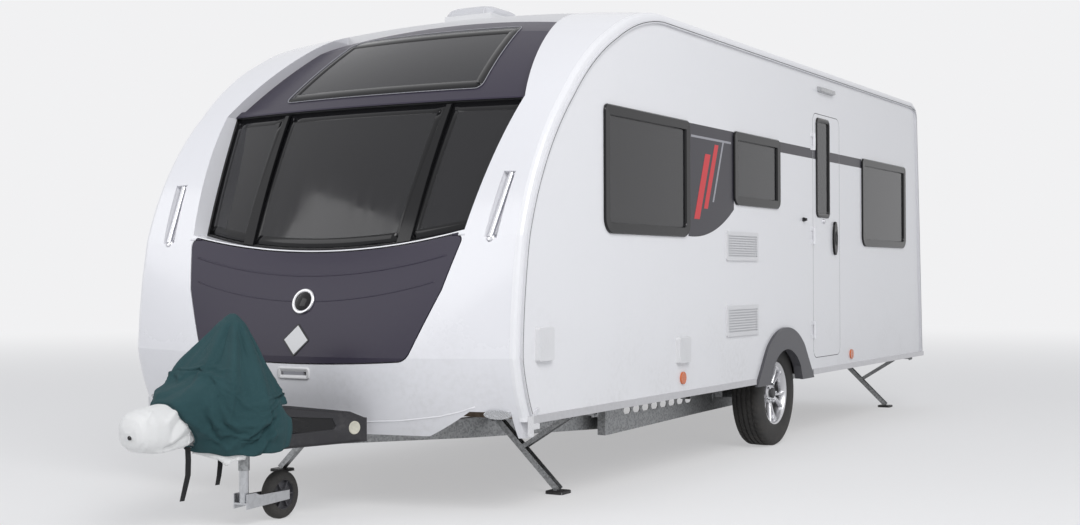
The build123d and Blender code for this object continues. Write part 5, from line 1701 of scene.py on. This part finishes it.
@dataclass
class Undercarriage:
    """Galvanised chassis, axle, drawbar, hitch and corner steadies."""

    corners: tuple = ("front_left", "front_right", "rear_left", "rear_right")
    frame_outside: tuple = ((3.140, 0.334), (2.735, 0.334), (2.742, 0.424), (2.800, 0.454), (3.140, 0.500))
    frame_inside: tuple = ((3.125, 0.384), (2.874, 0.390), (2.862, 0.402), (2.880, 0.438), (3.125, 0.462))
    disc: Flat = (2.772, 0.390)
    disc_section: tuple = ((0.0, 0.004), (0.024, 0.004), (0.026, 0.0055), (0.029, 0.0045), (0.030, -0.004))
    field_lift: float = 0.0012
    steady_y: float = 0.86

    def pulled(self, corners: Sequence[Flat], pull: float) -> list[Flat]:
        """Evenly divided outline, drawn towards its middle.

        Args:
            corners: The outline's corners.
            pull: Share of the way to the middle.

        Returns:
            Eight points for each corner.
        """
        middle = (sum(x for x, z in corners) / len(corners), sum(z for x, z in corners) / len(corners))
        out = []
        for a, b in zip(corners, corners[1:] + corners[:1]):
            for k in range(8):
                x, z = (a[i] + (b[i] - a[i]) * k / 8 for i in (0, 1))
                out.append((x + (middle[0] - x) * pull, z + (middle[1] - z) * pull))
        return out

    def fairing(self, side: Side) -> None:
        """Raised frame, dark field and blank disc on one side of the fairing.

        Args:
            side: The side of the fairing.
        """
        s = side.value
        skin = Skin("a_frame_fairing")

        def band(rows: Sequence) -> Build:
            """Skin rows of points over the fairing's side.

            Args:
                rows: For each row its corners, how far it is pulled in, and its lift.

            Returns:
                The collected band.
            """
            lifted = []
            for corners, pull, lift in rows:
                found = [skin.hit((x, s, z), (0, -s, 0)) for x, z in self.pulled(corners, pull)]
                lifted.append([point + lift * normal for point, normal in found])
            return Build().grid(lifted, closed=True)

        outside, inside = self.frame_outside, self.frame_inside
        raised = [(outside, 0, -0.001), (outside, 0.012, 0.006)]
        raised += [(inside, -0.03, 0.007), (inside, 0, 0.0055), (inside, 0.03, 0)]
        band(raised).piece(f"fairing_frame_{side.tag}", FAIRING_BLACK, sharp=30)
        flat = ((inside, 0, self.field_lift), (inside, 0.98, self.field_lift))
        band(flat).piece(f"fairing_field_{side.tag}", BLACK_GLOSS)
        point, normal = skin.hit((self.disc[0], s, self.disc[1]), (0, -s, 0))
        disc = Build().lathe(self.disc_section, facing(point + normal * 0.005, normal), 40)
        disc.piece(f"fairing_disc_{side.tag}", PALE_PLASTIC)

    def build(self) -> None:
        """Dress what carries the body and pad the steadies' feet."""
        dress(GALVANISED, "chassis_frame", "drawbar", "axle_beam", "steady_bases")
        dress(HITCH_PAINT, "hitch")
        dress(FAIRING_BLACK, "a_frame_fairing")
        for side in Side:
            self.fairing(side)
        for corner in self.corners:
            leg = f"steady_leg_{corner}"
            dress(GALVANISED, leg, f"steady_brace_{corner}")
            low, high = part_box(leg)
            s = 1 if "left" in corner else -1
            pad = rounded_at((low.x + high.x) / 2, s * self.steady_y, 0.10, 0.10, 0.018)
            foot = Build().slab(pad, lambda p, t: Vector((*p, t)), 0.0005, 0.016)
            foot.piece(f"steady_pad_{corner}", BLACK_TRIM, leg, bevel=0.003)


@dataclass
class JockeyWheel:
    """Jockey wheel: plated tube and fork, solid rubber tyre on a ribbed hub."""

    middle: Point = (2.974, 0.15286, 0.105)
    tyre: tuple = (
        (0.064, -0.024), (0.070, -0.027), (0.082, -0.029), (0.095, -0.025), (0.102, -0.018), (0.105, -0.008),
        (0.105, 0.008), (0.102, 0.018), (0.095, 0.025), (0.082, 0.029), (0.070, 0.027), (0.064, 0.024),
    )
    hub: tuple = (
        (0.0105, -0.028), (0.024, -0.028), (0.026, -0.024), (0.026, -0.007), (0.062, -0.006), (0.063, -0.022),
        (0.067, -0.022), (0.067, 0.022), (0.063, 0.022), (0.062, 0.006), (0.026, 0.007), (0.026, 0.024),
        (0.024, 0.028), (0.0105, 0.028),
    )
    nut: tuple = ((0.0, 0.040), (0.008, 0.040), (0.010, 0.037), (0.010, 0.033), (0.0, 0.033))

    def build(self) -> None:
        """Dress its nodes and replace the plain wheel."""
        dress(GALVANISED, "jockey_tube")
        dress(ZINC, "jockey_screw", "jockey_fork")
        place = sideways(self.middle, Side.RIGHT)
        rubber = Build().lathe(self.tyre, place, 72).piece("jockey_tyre", RUBBER, "jockey_wheel", "jockey_rubber")
        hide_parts("jockey_wheel")
        hub = Build().lathe(self.hub, place, 48)
        rib = Build().box((0.022, -0.0025, -0.019), (0.066, 0.0025, 0.019))
        for t in turns(6):
            turned = place @ Matrix.Rotation(t, 4, "Z")
            hub.add([turned @ p for p in rib.points], rib.faces)
        hub.piece("jockey_hub", ARCH_GREY, "jockey_wheel", sharp=40)
        Build().lathe(self.nut, place, 6).piece("jockey_nut", ZINC, "jockey_fork", smooth=False)


# Soft covers


@dataclass
class Sim:
    """Short cloth run that creases a sheet over a form, with its edges held."""

    frames: int = 26
    growth: float = 0.06
    cap: float = 0.03
    gap: float = 0.003
    quality: int = 7
    mass: float = 0.25
    stretch: float = 18
    shear: float = 6
    bend: float = 0.35

    def crease(self, sheet: bpy.types.Object, under: bpy.types.Object, held: Sequence[int]) -> None:
        """Let a sheet that is cut a little large sag into creases.

        Args:
            sheet: The cloth, whose mesh is changed.
            under: The form it lies on, removed afterwards.
            held: Vertex numbers that keep their place.
        """
        before = [v.co.copy() for v in sheet.data.vertices]
        pins = sheet.vertex_groups.new(name="held")
        pins.add(list(held), 1.0, "REPLACE")
        under.modifiers.new("form", "COLLISION")
        under.collision.thickness_outer = self.gap
        cloth = sheet.modifiers.new("cloth", "CLOTH")
        cloth.settings.quality = self.quality
        cloth.settings.mass = self.mass
        cloth.settings.tension_stiffness = self.stretch
        cloth.settings.compression_stiffness = self.stretch
        cloth.settings.shear_stiffness = self.shear
        cloth.settings.bending_stiffness = self.bend
        cloth.settings.vertex_group_mass = "held"
        cloth.settings.shrink_min = -self.growth
        cloth.collision_settings.distance_min = self.gap
        scene = bpy.context.scene
        for frame_number in range(1, self.frames + 1):
            scene.frame_set(frame_number)
        seen = sheet.evaluated_get(bpy.context.evaluated_depsgraph_get())
        after = [v.co.copy() for v in seen.data.vertices]
        sheet.modifiers.remove(cloth)
        scene.frame_set(1)
        for vertex, old, new in zip(sheet.data.vertices, before, after):
            move = new - old
            vertex.co = old + move * min(1.0, self.cap / max(move.length, 1e-6))
        sheet.vertex_groups.clear()
        bpy.data.objects.remove(under, do_unlink=True)


def spline(a: float, b: float, c: float, d: float, t: float) -> float:
    """Smooth value between b and c, led by their neighbours a and d."""
    return 0.5 * (2 * b + (c - a) * t + (2 * a - 5 * b + 4 * c - d) * t * t + (3 * b - a - 3 * c + d) * t**3)


def bell(value: float, middle: float, width: float, power: int = 2) -> float:
    """1 at the middle, falling to nothing beyond the width."""
    return math.exp(-(((value - middle) / width) ** power))


def signed_power(value: float, power: float) -> float:
    """A power of a value's size, with the value's sign."""
    return abs(value) ** power * (1 if value > 0 else -1)


def pushed(folds: Sequence, turn: float, place: float, reach: float) -> float:
    """How far folds push a cloth out at a point.

    Args:
        folds: For each fold its (turn, place) points, how far it stands out, and its width.
        turn: Angle of the point about the cover's middle line.
        place: Distance of the point along that line.
        reach: Radius that turns angles into distances.

    Returns:
        The push in metres.
    """
    total = 0.0
    for line, rise, width in folds:
        best = math.inf
        for (turn_a, place_a), (turn_b, place_b) in zip(line, line[1:]):
            gap = (turn - turn_a + math.pi) % (2 * math.pi) - math.pi
            px, pz = gap * reach, place - place_a
            qx, qz = (turn_b - turn_a) * reach, place_b - place_a
            share = max(0.0, min(1.0, (px * qx + pz * qz) / max(qx * qx + qz * qz, 1e-9)))
            best = min(best, math.hypot(px - share * qx, pz - share * qz))
        total += rise * bell(best, 0, width)
    return total


@dataclass
class HitchCover:
    """Green fabric cover gathered over the hitch and its lever."""

    # Height, middle x, reach fore and aft, reach to the left, reach to the right, squareness.
    sections: tuple = (
        (0.336, 3.200, 0.196, 0.322, 0.160, 0.62),
        (0.380, 3.200, 0.200, 0.330, 0.168, 0.60),
        (0.430, 3.198, 0.204, 0.330, 0.176, 0.60),
        (0.490, 3.194, 0.206, 0.322, 0.190, 0.64),
        (0.560, 3.186, 0.205, 0.292, 0.206, 0.76),
        (0.630, 3.176, 0.188, 0.252, 0.220, 0.90),
        (0.690, 3.160, 0.156, 0.206, 0.212, 1.0),
        (0.750, 3.140, 0.118, 0.154, 0.152, 1.0),
        (0.810, 3.124, 0.078, 0.102, 0.088, 1.0),
        (0.860, 3.112, 0.046, 0.060, 0.050, 1.0),
        (0.886, 3.106, 0.026, 0.032, 0.028, 1.0),
        (0.896, 3.104, 0.010, 0.012, 0.011, 1.0),
    )
    # Folds: (turn, height) points from the top down, how far they stand out, and their width.
    folds: tuple = (
        (((0.85, 0.88), (0.82, 0.72), (0.80, 0.60), (0.66, 0.47)), 0.020, 0.020),
        (((0.45, 0.84), (0.50, 0.68), (0.42, 0.52), (0.50, 0.38)), -0.015, 0.018),
        (((0.10, 0.84), (0.22, 0.70), (0.18, 0.56), (0.30, 0.42)), 0.017, 0.020),
        (((1.15, 0.82), (1.10, 0.66), (1.02, 0.52), (0.90, 0.40)), -0.012, 0.022),
        (((1.50, 0.85), (1.44, 0.70), (1.40, 0.56), (1.42, 0.44)), 0.013, 0.022),
        (((1.90, 0.80), (1.85, 0.64), (1.90, 0.48)), -0.012, 0.024),
        (((2.30, 0.84), (2.30, 0.68), (2.20, 0.50)), 0.016, 0.026),
        (((2.80, 0.82), (2.85, 0.62), (2.80, 0.52)), -0.012, 0.028),
        (((3.50, 0.84), (3.45, 0.66), (3.60, 0.54)), 0.016, 0.028),
        (((4.10, 0.82), (4.20, 0.62), (4.10, 0.42)), -0.013, 0.026),
        (((4.60, 0.84), (4.65, 0.64), (4.75, 0.42), (4.70, 0.34)), 0.017, 0.026),
        (((5.20, 0.82), (5.25, 0.62), (5.35, 0.44)), -0.013, 0.024),
        (((5.70, 0.84), (5.75, 0.66), (5.85, 0.50)), 0.015, 0.022),
        (((0.05, 0.64), (-0.18, 0.61), (-0.42, 0.63)), -0.016, 0.013),
        (((0.02, 0.60), (-0.20, 0.575), (-0.50, 0.585)), 0.013, 0.012),
        (((0.12, 0.66), (0.10, 0.60), (0.20, 0.55)), -0.014, 0.012),
        (((0.00, 0.56), (-0.30, 0.54), (-0.62, 0.555)), -0.010, 0.011),
        (((0.95, 0.33), (1.20, 0.355), (1.50, 0.41)), 0.015, 0.013),
        (((0.90, 0.36), (1.18, 0.392), (1.48, 0.46)), -0.011, 0.013),
        (((0.55, 0.35), (0.90, 0.395), (1.22, 0.47)), 0.011, 0.015),
        (((1.46, 0.50), (1.40, 0.42), (1.30, 0.34)), -0.011, 0.012),
        (((0.25, 0.47), (0.40, 0.41), (0.60, 0.36)), 0.010, 0.013),
    )
    # Height and how far the front is drawn out over the coupling.
    snout: tuple = (
        (0.34, 0.0), (0.39, 0.020), (0.43, 0.055), (0.47, 0.095), (0.51, 0.130), (0.545, 0.140),
        (0.575, 0.100), (0.61, 0.035), (0.66, 0.0), (0.90, 0.0),
    )
    # Middle height, half width and half height of the opening for the coupling.
    sleeve: tuple = (0.440, 0.094, 0.101)
    sleeve_back: float = 3.36
    sleeve_reach: float = 0.13
    around: int = 220
    step: float = 0.0074
    fairing_front: float = 3.149
    fairing_half: float = 0.300
    fairing_top: float = 0.510
    held_above: float = 0.84
    under_inset: float = 0.010
    # Turn about which the hem sags, how wide and how deep.
    sag: tuple = (0.95, 0.6, 0.024)
    strap_thick: float = 0.0009
    # Name, path and half width of each strap.
    strap_paths: tuple = (
        (
            "cover_strap_long",
            (
                (3.428, 0.045, 0.352), (3.432, 0.052, 0.300), (3.430, 0.048, 0.235), (3.438, 0.036, 0.170),
                (3.446, 0.030, 0.128),
            ),
            0.0115,
        ),
        (
            "cover_strap_short",
            ((3.318, 0.126, 0.345), (3.322, 0.126, 0.270), (3.320, 0.118, 0.225), (3.324, 0.112, 0.186)),
            0.0105,
        ),
    )

    @property
    def hem(self) -> float:
        """Height of the hem."""
        return self.sections[0][0]

    @property
    def peak(self) -> float:
        """Height of the peak."""
        return self.sections[-1][0]

    def section(self, height: float) -> tuple:
        """Shape of the cover at a height.

        Args:
            height: Height above the ground.

        Returns:
            Middle x, the three reaches and the squareness.
        """
        rows = self.sections
        for number, (low, high) in enumerate(zip(rows, rows[1:])):
            if height <= high[0]:
                before = rows[max(number - 1, 0)]
                after = rows[min(number + 2, len(rows) - 1)]
                t = (height - low[0]) / (high[0] - low[0])
                return tuple(spline(before[i], low[i], high[i], after[i], t) for i in range(1, 6))
        return rows[-1][1:]

    def drawn(self, height: float) -> float:
        """How far the front is drawn out.

        Args:
            height: Height above the ground.

        Returns:
            The distance, 0 above and below the coupling.
        """
        for (low, a), (high, b) in zip(self.snout, self.snout[1:]):
            if height <= high:
                return a + (b - a) * max(0.0, (height - low) / (high - low))
        return 0.0

    def point(self, turn: float, height: float, inset: float = 0.0) -> Vector:
        """A point of the cover.

        Args:
            turn: Angle about the lever, from the nose towards the left.
            height: Height above the ground.
            inset: How far inside the cloth the point lies.

        Returns:
            The point, with its folds.
        """
        middle, reach, left, right, square = self.section(height)
        c = math.cos(turn)
        s = math.sin(turn)
        side = left if s > 0 else right
        down = (self.peak - height) / 0.6
        size = 0.5 * (reach + side)
        ripple = 0.0016 * math.sin(19 * turn - 3.5 * down)
        ripple += 0.0012 * math.sin(31 * turn + 6 * down + 2 * math.sin(turn))
        fold = pushed(self.folds, turn, height, max(size, 0.05))
        out = fold * min(1.0, size / 0.09) + ripple * min(1.0, down * 3)
        radial = 1.0 + (out - inset) / max(size, 0.03)
        nose = self.drawn(height) * bell(turn, -0.04, 0.52, 4)
        square = 0.86 if c > 0 else square
        if c < 0:
            reach *= 0.72 + 0.28 * max(0.0, min(1.0, (0.505 - height) / 0.05))
        across = side * signed_power(s, square)
        return Vector((middle + reach * signed_power(c, square) * radial + nose, across * radial, height))

    def rows(self, inset: float = 0.0) -> list[list[Vector]]:
        """Rings of points from the hem to the peak.

        Args:
            inset: How far inside the cloth they lie.

        Returns:
            The rings.
        """
        count = round((self.peak - self.hem) / self.step)
        rings = []
        for step in range(count + 1):
            height = self.hem + (self.peak - self.hem) * step / count
            ring = []
            for turn in turns(self.around):
                p = self.point((turn + math.pi) % (2 * math.pi) - math.pi, height, inset)
                middle, width, deep = self.sag
                sag = deep * bell(turn, middle, width) + 0.005 * math.sin(5 * turn) + 0.003 * math.sin(13 * turn)
                p.z -= sag * max(0.0, (0.46 - height) / 0.124)
                ring.append(p)
            rings.append(ring)
        return rings

    def sheet(self, name: str, inset: float = 0.0) -> bpy.types.Object:
        """The cover's surface.

        Args:
            name: Name of the object.
            inset: How far inside the cloth it lies.

        Returns:
            The object; the cloth itself is open at the fairing and the coupling.
        """
        rings = self.rows(inset)
        shape = Build().grid(rings, closed=True).cap(rings[-1]).shape(name)
        if not inset:
            work = bmesh.new()
            work.from_mesh(shape.data)
            hidden = [face for face in work.faces if self.is_open(face.calc_center_median())]
            bmesh.ops.delete(work, geom=hidden, context="FACES")
            self.even_edge(work)
            work.to_mesh(shape.data)
            work.free()
        return shape

    def is_open(self, spot: Vector) -> bool:
        """Whether the cloth is open, for the fairing or the coupling.

        Args:
            spot: Middle of one of its faces.

        Returns:
            True where it is open.
        """
        middle, wide, tall = self.sleeve
        in_sleeve = (abs(spot.y) / wide) ** 2.5 + (abs(spot.z - middle) / tall) ** 2.5 < 0.94
        on_fairing = spot.x < self.fairing_front and abs(spot.y) < self.fairing_half and spot.z < self.fairing_top
        return on_fairing or (spot.x > self.sleeve_back and in_sleeve)

    def even_edge(self, work: bmesh.types.BMesh) -> None:
        """Smooth the stepped edges where the cloth was cut.

        Args:
            work: The cloth, which is changed.
        """
        edge = [v for v in work.verts if v.is_boundary and v.co.z > self.hem + 0.03]
        for _ in range(12):
            moved = {}
            for vertex in edge:
                beside = [e.other_vert(vertex).co for e in vertex.link_edges if e.is_boundary]
                if len(beside) == 2:
                    moved[vertex] = vertex.co.lerp((beside[0] + beside[1]) / 2, 0.5)
            for vertex, spot in moved.items():
                vertex.co = spot

    def sleeve_hem(self, cover: bpy.types.Object) -> None:
        """Rolled hem round the opening for the coupling.

        Args:
            cover: The creased cloth.
        """
        work = bmesh.new()
        work.from_mesh(cover.data)
        spots = set()
        for edge in work.edges:
            ends = [v.co for v in edge.verts]
            ahead = min(p.x for p in ends) > self.sleeve_back and all(abs(p.y) < self.sleeve_reach for p in ends)
            if edge.is_boundary and ahead and all(p.z > self.hem + 0.012 for p in ends):
                spots.update(edge.verts)
        middle = self.sleeve[0]
        ring = sorted(spots, key=lambda v: math.atan2(v.co.z - middle, v.co.y))
        path = [v.co.copy() for v in ring][::2]
        work.free()
        Build().tube(path, 0.0035, closed=True).piece("hitch_cover_sleeve_hem", GREEN_CLOTH, slot="cover_green")

    def build(self) -> None:
        cover = self.sheet("hitch_cover_cloth")
        under = self.sheet("hitch_cover_form", self.under_inset)
        held = []
        for vertex in cover.data.vertices:
            x, y, z = vertex.co
            on_fairing = x < self.fairing_front + 0.02 and z < self.fairing_top + 0.02
            at_coupling = x > self.sleeve_back + 0.02 and abs(y) < self.sleeve_reach
            if z > self.held_above or z < self.hem + 0.03 or on_fairing or at_coupling:
                held.append(vertex.index)
        Sim().crease(cover, under, held)
        self.sleeve_hem(cover)
        thicken(cover, 0.0016)
        wear(cover, GREEN_CLOTH, "caravan")
        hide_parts("hitch_cover")
        self.flap()
        self.straps()

    def flap(self) -> None:
        """White lining flap that hangs below the hem."""
        count = 34
        middle, width, deep = self.sag
        rows = []
        for step in range(7):
            drop = step / 6
            row = []
            for k in range(count + 1):
                t = k / count
                turn = 0.10 + 0.86 * t
                hem = self.point(turn, self.hem + 0.006, 0.009)
                hem.z -= deep * bell(turn, middle, width) + 0.004
                depth = 0.014 + 0.010 * math.sin(math.pi * t) + 0.022 * bell(t, 0.62, 0.10)
                wave = 0.005 * math.sin(15 * t + 2 * drop) * drop
                row.append((hem.x + wave, hem.y - 0.008 * drop + 0.5 * wave, hem.z + 0.010 - drop * (0.010 + depth)))
            rows.append(row)
        shape = Build().grid(rows).shape("cover_flap")
        thicken(shape, 0.0012, inward=False)
        wear(shape, WHITE_VINYL, "caravan")

    def straps(self) -> None:
        """Black webbing straps that hang from the covers."""
        for name, path, half in self.strap_paths:
            line = along(path, 0.006)
            rows = []
            for k, spot in enumerate(line):
                twist = 0.5 + 0.9 * k / len(line)
                across = Vector((-math.sin(twist), math.cos(twist), 0)) * half
                lift = Vector((math.cos(twist), math.sin(twist), 0)) * self.strap_thick
                rows.append([spot - across + lift, spot + across + lift, spot + across - lift, spot - across - lift])
            Build().capped(rows).piece(name, WEBBING, sharp=40)


@dataclass
class CouplingCover:
    """White coated bag over the coupling head."""

    # Place along x, middle height, half height, half width.
    sections: tuple = (
        (3.392, 0.440, 0.072, 0.066),
        (3.425, 0.440, 0.086, 0.080),
        (3.470, 0.440, 0.094, 0.088),
        (3.530, 0.438, 0.098, 0.090),
        (3.590, 0.434, 0.096, 0.090),
        (3.640, 0.434, 0.090, 0.086),
        (3.680, 0.433, 0.081, 0.077),
        (3.704, 0.428, 0.062, 0.064),
        (3.714, 0.422, 0.040, 0.046),
        (3.718, 0.420, 0.013, 0.016),
    )
    around: int = 120
    # Folds: (turn, place along x) points, how far they stand out, and their width.
    folds: tuple = (
        (((1.2, 3.40), (0.85, 3.50), (0.30, 3.58)), 0.008, 0.012),
        (((0.8, 3.40), (0.45, 3.49), (-0.05, 3.56)), -0.007, 0.010),
        (((0.3, 3.40), (0.05, 3.48), (-0.40, 3.56)), 0.007, 0.011),
        (((-0.1, 3.40), (-0.35, 3.48), (-0.75, 3.58)), -0.007, 0.010),
        (((-0.6, 3.40), (-0.85, 3.50), (-1.0, 3.62)), 0.007, 0.012),
        (((2.0, 3.40), (2.2, 3.50)), 0.007, 0.012),
        (((2.8, 3.40), (2.6, 3.52)), -0.007, 0.012),
        (((3.5, 3.40), (3.6, 3.52)), 0.007, 0.012),
        (((4.2, 3.40), (4.1, 3.54)), -0.007, 0.012),
        (((1.0, 3.64), (0.5, 3.69), (-0.4, 3.70)), 0.004, 0.008),
    )
    reach: float = 0.09
    squareness: float = 0.78
    rows: int = 65
    gather: float = 0.004
    eyelet: Point = (3.707, 0.008, 0.415)
    eyelet_section: tuple = ((0.0, 0.010), (0.004, 0.010), (0.005, 0.013), (0.009, 0.0125), (0.010, -0.002))

    def section(self, place: float) -> tuple:
        """Shape of the bag at a place.

        Args:
            place: The place along x.

        Returns:
            Middle height, half height and half width.
        """
        rows = self.sections
        for low, high in zip(rows, rows[1:]):
            if place <= high[0]:
                t = (place - low[0]) / (high[0] - low[0])
                t = t * t * (3 - 2 * t) * 0.4 + t * 0.6
                return tuple(low[i] + (high[i] - low[i]) * t for i in (1, 2, 3))
        return rows[-1][1:]

    def ring(self, place: float, share: float) -> list[Point]:
        """One ring of the bag.

        Args:
            place: Where along x it stands.
            share: How far forward it is, from 0 to 1.

        Returns:
            The ring's points.
        """
        middle, tall, wide = self.section(place)
        near_neck = max(0.0, 1 - (place - self.sections[0][0]) / 0.05)
        points = []
        for turn in turns(self.around):
            out = 1 + pushed(self.folds, turn, place, self.reach) / self.reach * min(1.0, tall / 0.06)
            gather = self.gather * math.sin(11 * turn) * near_neck
            y = signed_power(math.cos(turn), self.squareness) * (wide * out + gather)
            z = middle + signed_power(math.sin(turn), self.squareness) * (tall * out + gather)
            points.append((place + 0.006 * math.sin(turn) * share, y, z))
        return points

    def build(self) -> None:
        """Replace the plain cover with a bag, its hem and its eyelet."""
        first = self.sections[0][0]
        last = self.sections[-1][0]
        shares = [step / self.rows for step in range(self.rows + 1)]
        rows = [self.ring(first + (last - first) * (1 - (1 - t) ** 1.6), t) for t in shares]
        bag = Build().grid(rows, closed=True).cap(rows[-1]).shape("coupling_cover_cloth")
        thicken(bag, 0.0015)
        wear(bag, WHITE_VINYL, "caravan")
        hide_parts("coupling_cover")
        Build().tube(rows[8], 0.004, closed=True).piece("coupling_cover_hem", WHITE_VINYL, slot="cover_white")
        place = facing(self.eyelet, Vector((1.0, 0.12, -0.05)).normalized())
        Build().lathe(self.eyelet_section, place, 28).piece("coupling_cover_eyelet", BLACK_TRIM)


# Cabin


@dataclass
class Cabin:
    """Cushions seen through the windows."""

    rear: float = 0.575
    front: float = 2.115
    low: float = 0.832
    # Name, two distances from the middle and top of each cushion.
    cushions: tuple = (("seat_cushion", 0.432, 0.955, 0.958), ("seat_back", 0.964, 1.080, 1.325))
    pinch: float = 0.07

    def cushion(self, name: str, low: Sequence[float], high: Sequence[float]) -> bpy.types.Object:
        """A crowned cushion between two corners.

        Args:
            name: Name of the piece.
            low: Its low corner.
            high: Its high corner.

        Returns:
            The cushion.
        """
        middle = [(a + b) / 2 for a, b in zip(low, high)]
        half = [(b - a) / 2 for a, b in zip(low, high)]
        work = bmesh.new()
        bmesh.ops.create_cube(work, size=2)
        bmesh.ops.subdivide_edges(work, edges=work.edges, cuts=7, use_grid_fill=True)
        for vertex in work.verts:
            p = vertex.co.copy()
            near = [self.pinch * abs(value) ** 6 for value in p]
            drawn = [1 - near[(i + 1) % 3] - near[(i + 2) % 3] for i in range(3)]
            vertex.co = Vector(middle[i] + half[i] * p[i] * drawn[i] for i in range(3))
        mesh = bpy.data.meshes.new(name)
        work.to_mesh(mesh)
        work.free()
        shape = bpy.data.objects.new(name, mesh)
        bpy.context.scene.collection.objects.link(shape)
        mesh.polygons.foreach_set("use_smooth", [True] * len(mesh.polygons))
        smooth = shape.modifiers.new("smooth", "SUBSURF")
        smooth.levels = smooth.render_levels = 1
        wear(shape, SEAT_CLOTH, "caravan")
        return shape

    def build(self) -> None:
        """Replace the plain cushions."""
        for side in Side:
            for name, inner, outer, top in self.cushions:
                near, far = sorted((side.value * inner, side.value * outer))
                ends = (self.rear, near, self.low), (self.front, far, top)
                self.cushion(f"{name}_{side.tag}", *ends)
        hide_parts("bench_cushions")


# Stage


@dataclass
class Studio:
    """Pale floor, soft lights and the camera."""

    eye: Point = (7.9811, 4.3718, 1.0579)
    yaw: float = 30.0827
    pitch: float = 0.4993
    roll: float = -0.1878
    lens: float = 49.106
    backdrop: Point = (0.88, 0.88, 0.89)
    reach: float = 60
    # Name, place, aim, size and power of each lamp.
    lamps: tuple = (
        ("key", (7.0, 7.5, 8.0), (0, 0, 1.2), 6.0, 780),
        ("fill", (9.0, -5.0, 5.0), (1, 0, 1.0), 6.0, 200),
    )

    def seen(self, w: Wiring) -> bpy.types.NodeSocket:
        """Tell the rays that show the stage: from the camera, a gloss or a pane.

        Args:
            w: Wiring of the material or the world.

        Returns:
            A socket that is 1 for them.
        """
        path = w.node("LightPath").outputs
        direct = w.maths("MAXIMUM", path["Is Camera Ray"], path["Is Glossy Ray"])
        return w.maths("MAXIMUM", direct, path["Is Transmission Ray"])

    def floor(self) -> None:
        """Plain pale ground that runs past the view."""
        r = self.reach
        made = add_mesh("floor", [(-r, -r, 0), (r, -r, 0), (r, r, 0), (-r, r, 0)], [(0, 1, 2, 3)], smooth=False)
        material = bpy.data.materials.new("floor_pale")
        material.use_nodes = True
        shader = material.node_tree.nodes["Principled BSDF"]
        shader.inputs["Base Color"].default_value = (0.8, 0.8, 0.8, 1)
        shader.inputs["Roughness"].default_value = 0.9
        w = Wiring(material.node_tree)
        place = w.node("VectorMath", {0: w.node("TexCoord").outputs["Object"]}, operation="LENGTH")
        far = w.ramp(place.outputs["Value"], (4.0, 22.0), (0.5, 1.0))
        pale = w.node("Emission", {"Color": (*self.backdrop, 1), "Strength": 1.0})
        share = w.maths("MULTIPLY", self.seen(w), far)
        mix = w.node("MixShader", {0: share, 1: shader.outputs[0], 2: pale.outputs[0]})
        w.tree.links.new(mix.outputs[0], material.node_tree.nodes["Material Output"].inputs["Surface"])
        made.data.materials.append(material)

    def world(self) -> None:
        """Pale sky that lights the scene softly."""
        world = bpy.data.worlds.new("studio")
        bpy.context.scene.world = world
        world.use_nodes = True
        w = Wiring(world.node_tree)
        w.tree.nodes.clear()
        light = w.node("Background", {"Color": (0.9, 0.93, 1.0, 1), "Strength": 0.45})
        pale = w.node("Background", {"Color": (*self.backdrop, 1), "Strength": 1.0})
        mix = w.node("MixShader", {0: self.seen(w), 1: light.outputs[0], 2: pale.outputs[0]})
        w.node("OutputWorld", {"Surface": mix.outputs[0]})

    def lamp(self, name: str, spot: Point, aim: Point, size: float, power: float) -> None:
        """A soft square light.

        Args:
            name: Its name.
            spot: Where it stands.
            aim: The point it faces.
            size: Length of its side.
            power: Its power in watts.
        """
        light = bpy.data.lights.new(name, "AREA")
        light.size = size
        light.energy = power
        made = bpy.data.objects.new(name, light)
        made.location = spot
        made.rotation_euler = (Vector(aim) - Vector(spot)).to_track_quat("-Z", "Y").to_euler()
        bpy.context.scene.collection.objects.link(made)

    def camera(self) -> None:
        """Camera at the photograph's place, from its angles."""
        yaw, pitch, roll = (math.radians(a) for a in (self.yaw, self.pitch, self.roll))
        ahead = Vector((-math.cos(yaw) * math.cos(pitch), -math.sin(yaw) * math.cos(pitch), math.sin(pitch)))
        right = ahead.cross(Vector((0, 0, 1))).normalized()
        up = right.cross(ahead)
        across = right * math.cos(roll) + up * math.sin(roll)
        upward = up * math.cos(roll) - right * math.sin(roll)
        turn = Matrix((across, upward, -ahead)).transposed()
        data = bpy.data.cameras.new("camera")
        data.lens = self.lens
        data.sensor_width = 36
        data.clip_end = 200
        made = bpy.data.objects.new("camera", data)
        made.matrix_world = Matrix.Translation(self.eye) @ turn.to_4x4()
        bpy.context.scene.collection.objects.link(made)
        bpy.context.scene.camera = made

    def build(self) -> None:
        """Set the stage."""
        self.floor()
        self.world()
        for lamp in self.lamps:
            self.lamp(*lamp)
        self.camera()
        bpy.context.scene.view_settings.view_transform = "Standard"


def main() -> None:
    """Build every sub-assembly around the frame."""
    Studio().build()
    front = Skin("front_moulding", "front_upper_panel", "skylight", "front_windows", "locker_lid")
    BodyPanels().build()
    Windows().build()
    Glazing(FrontView(), front).build()
    LockerLid(front).build()
    NoseFittings(front).build()
    RearFittings().build()
    Door().build()
    for side in Side:
        Wheel(side, (-0.65, side.value * 0.9755, 0.325)).build()
    for assembly in (Undercarriage(), JockeyWheel(), HitchCover(), CouplingCover(), Cabin()):
        assembly.build()


if __name__ == "__main__":
    main()
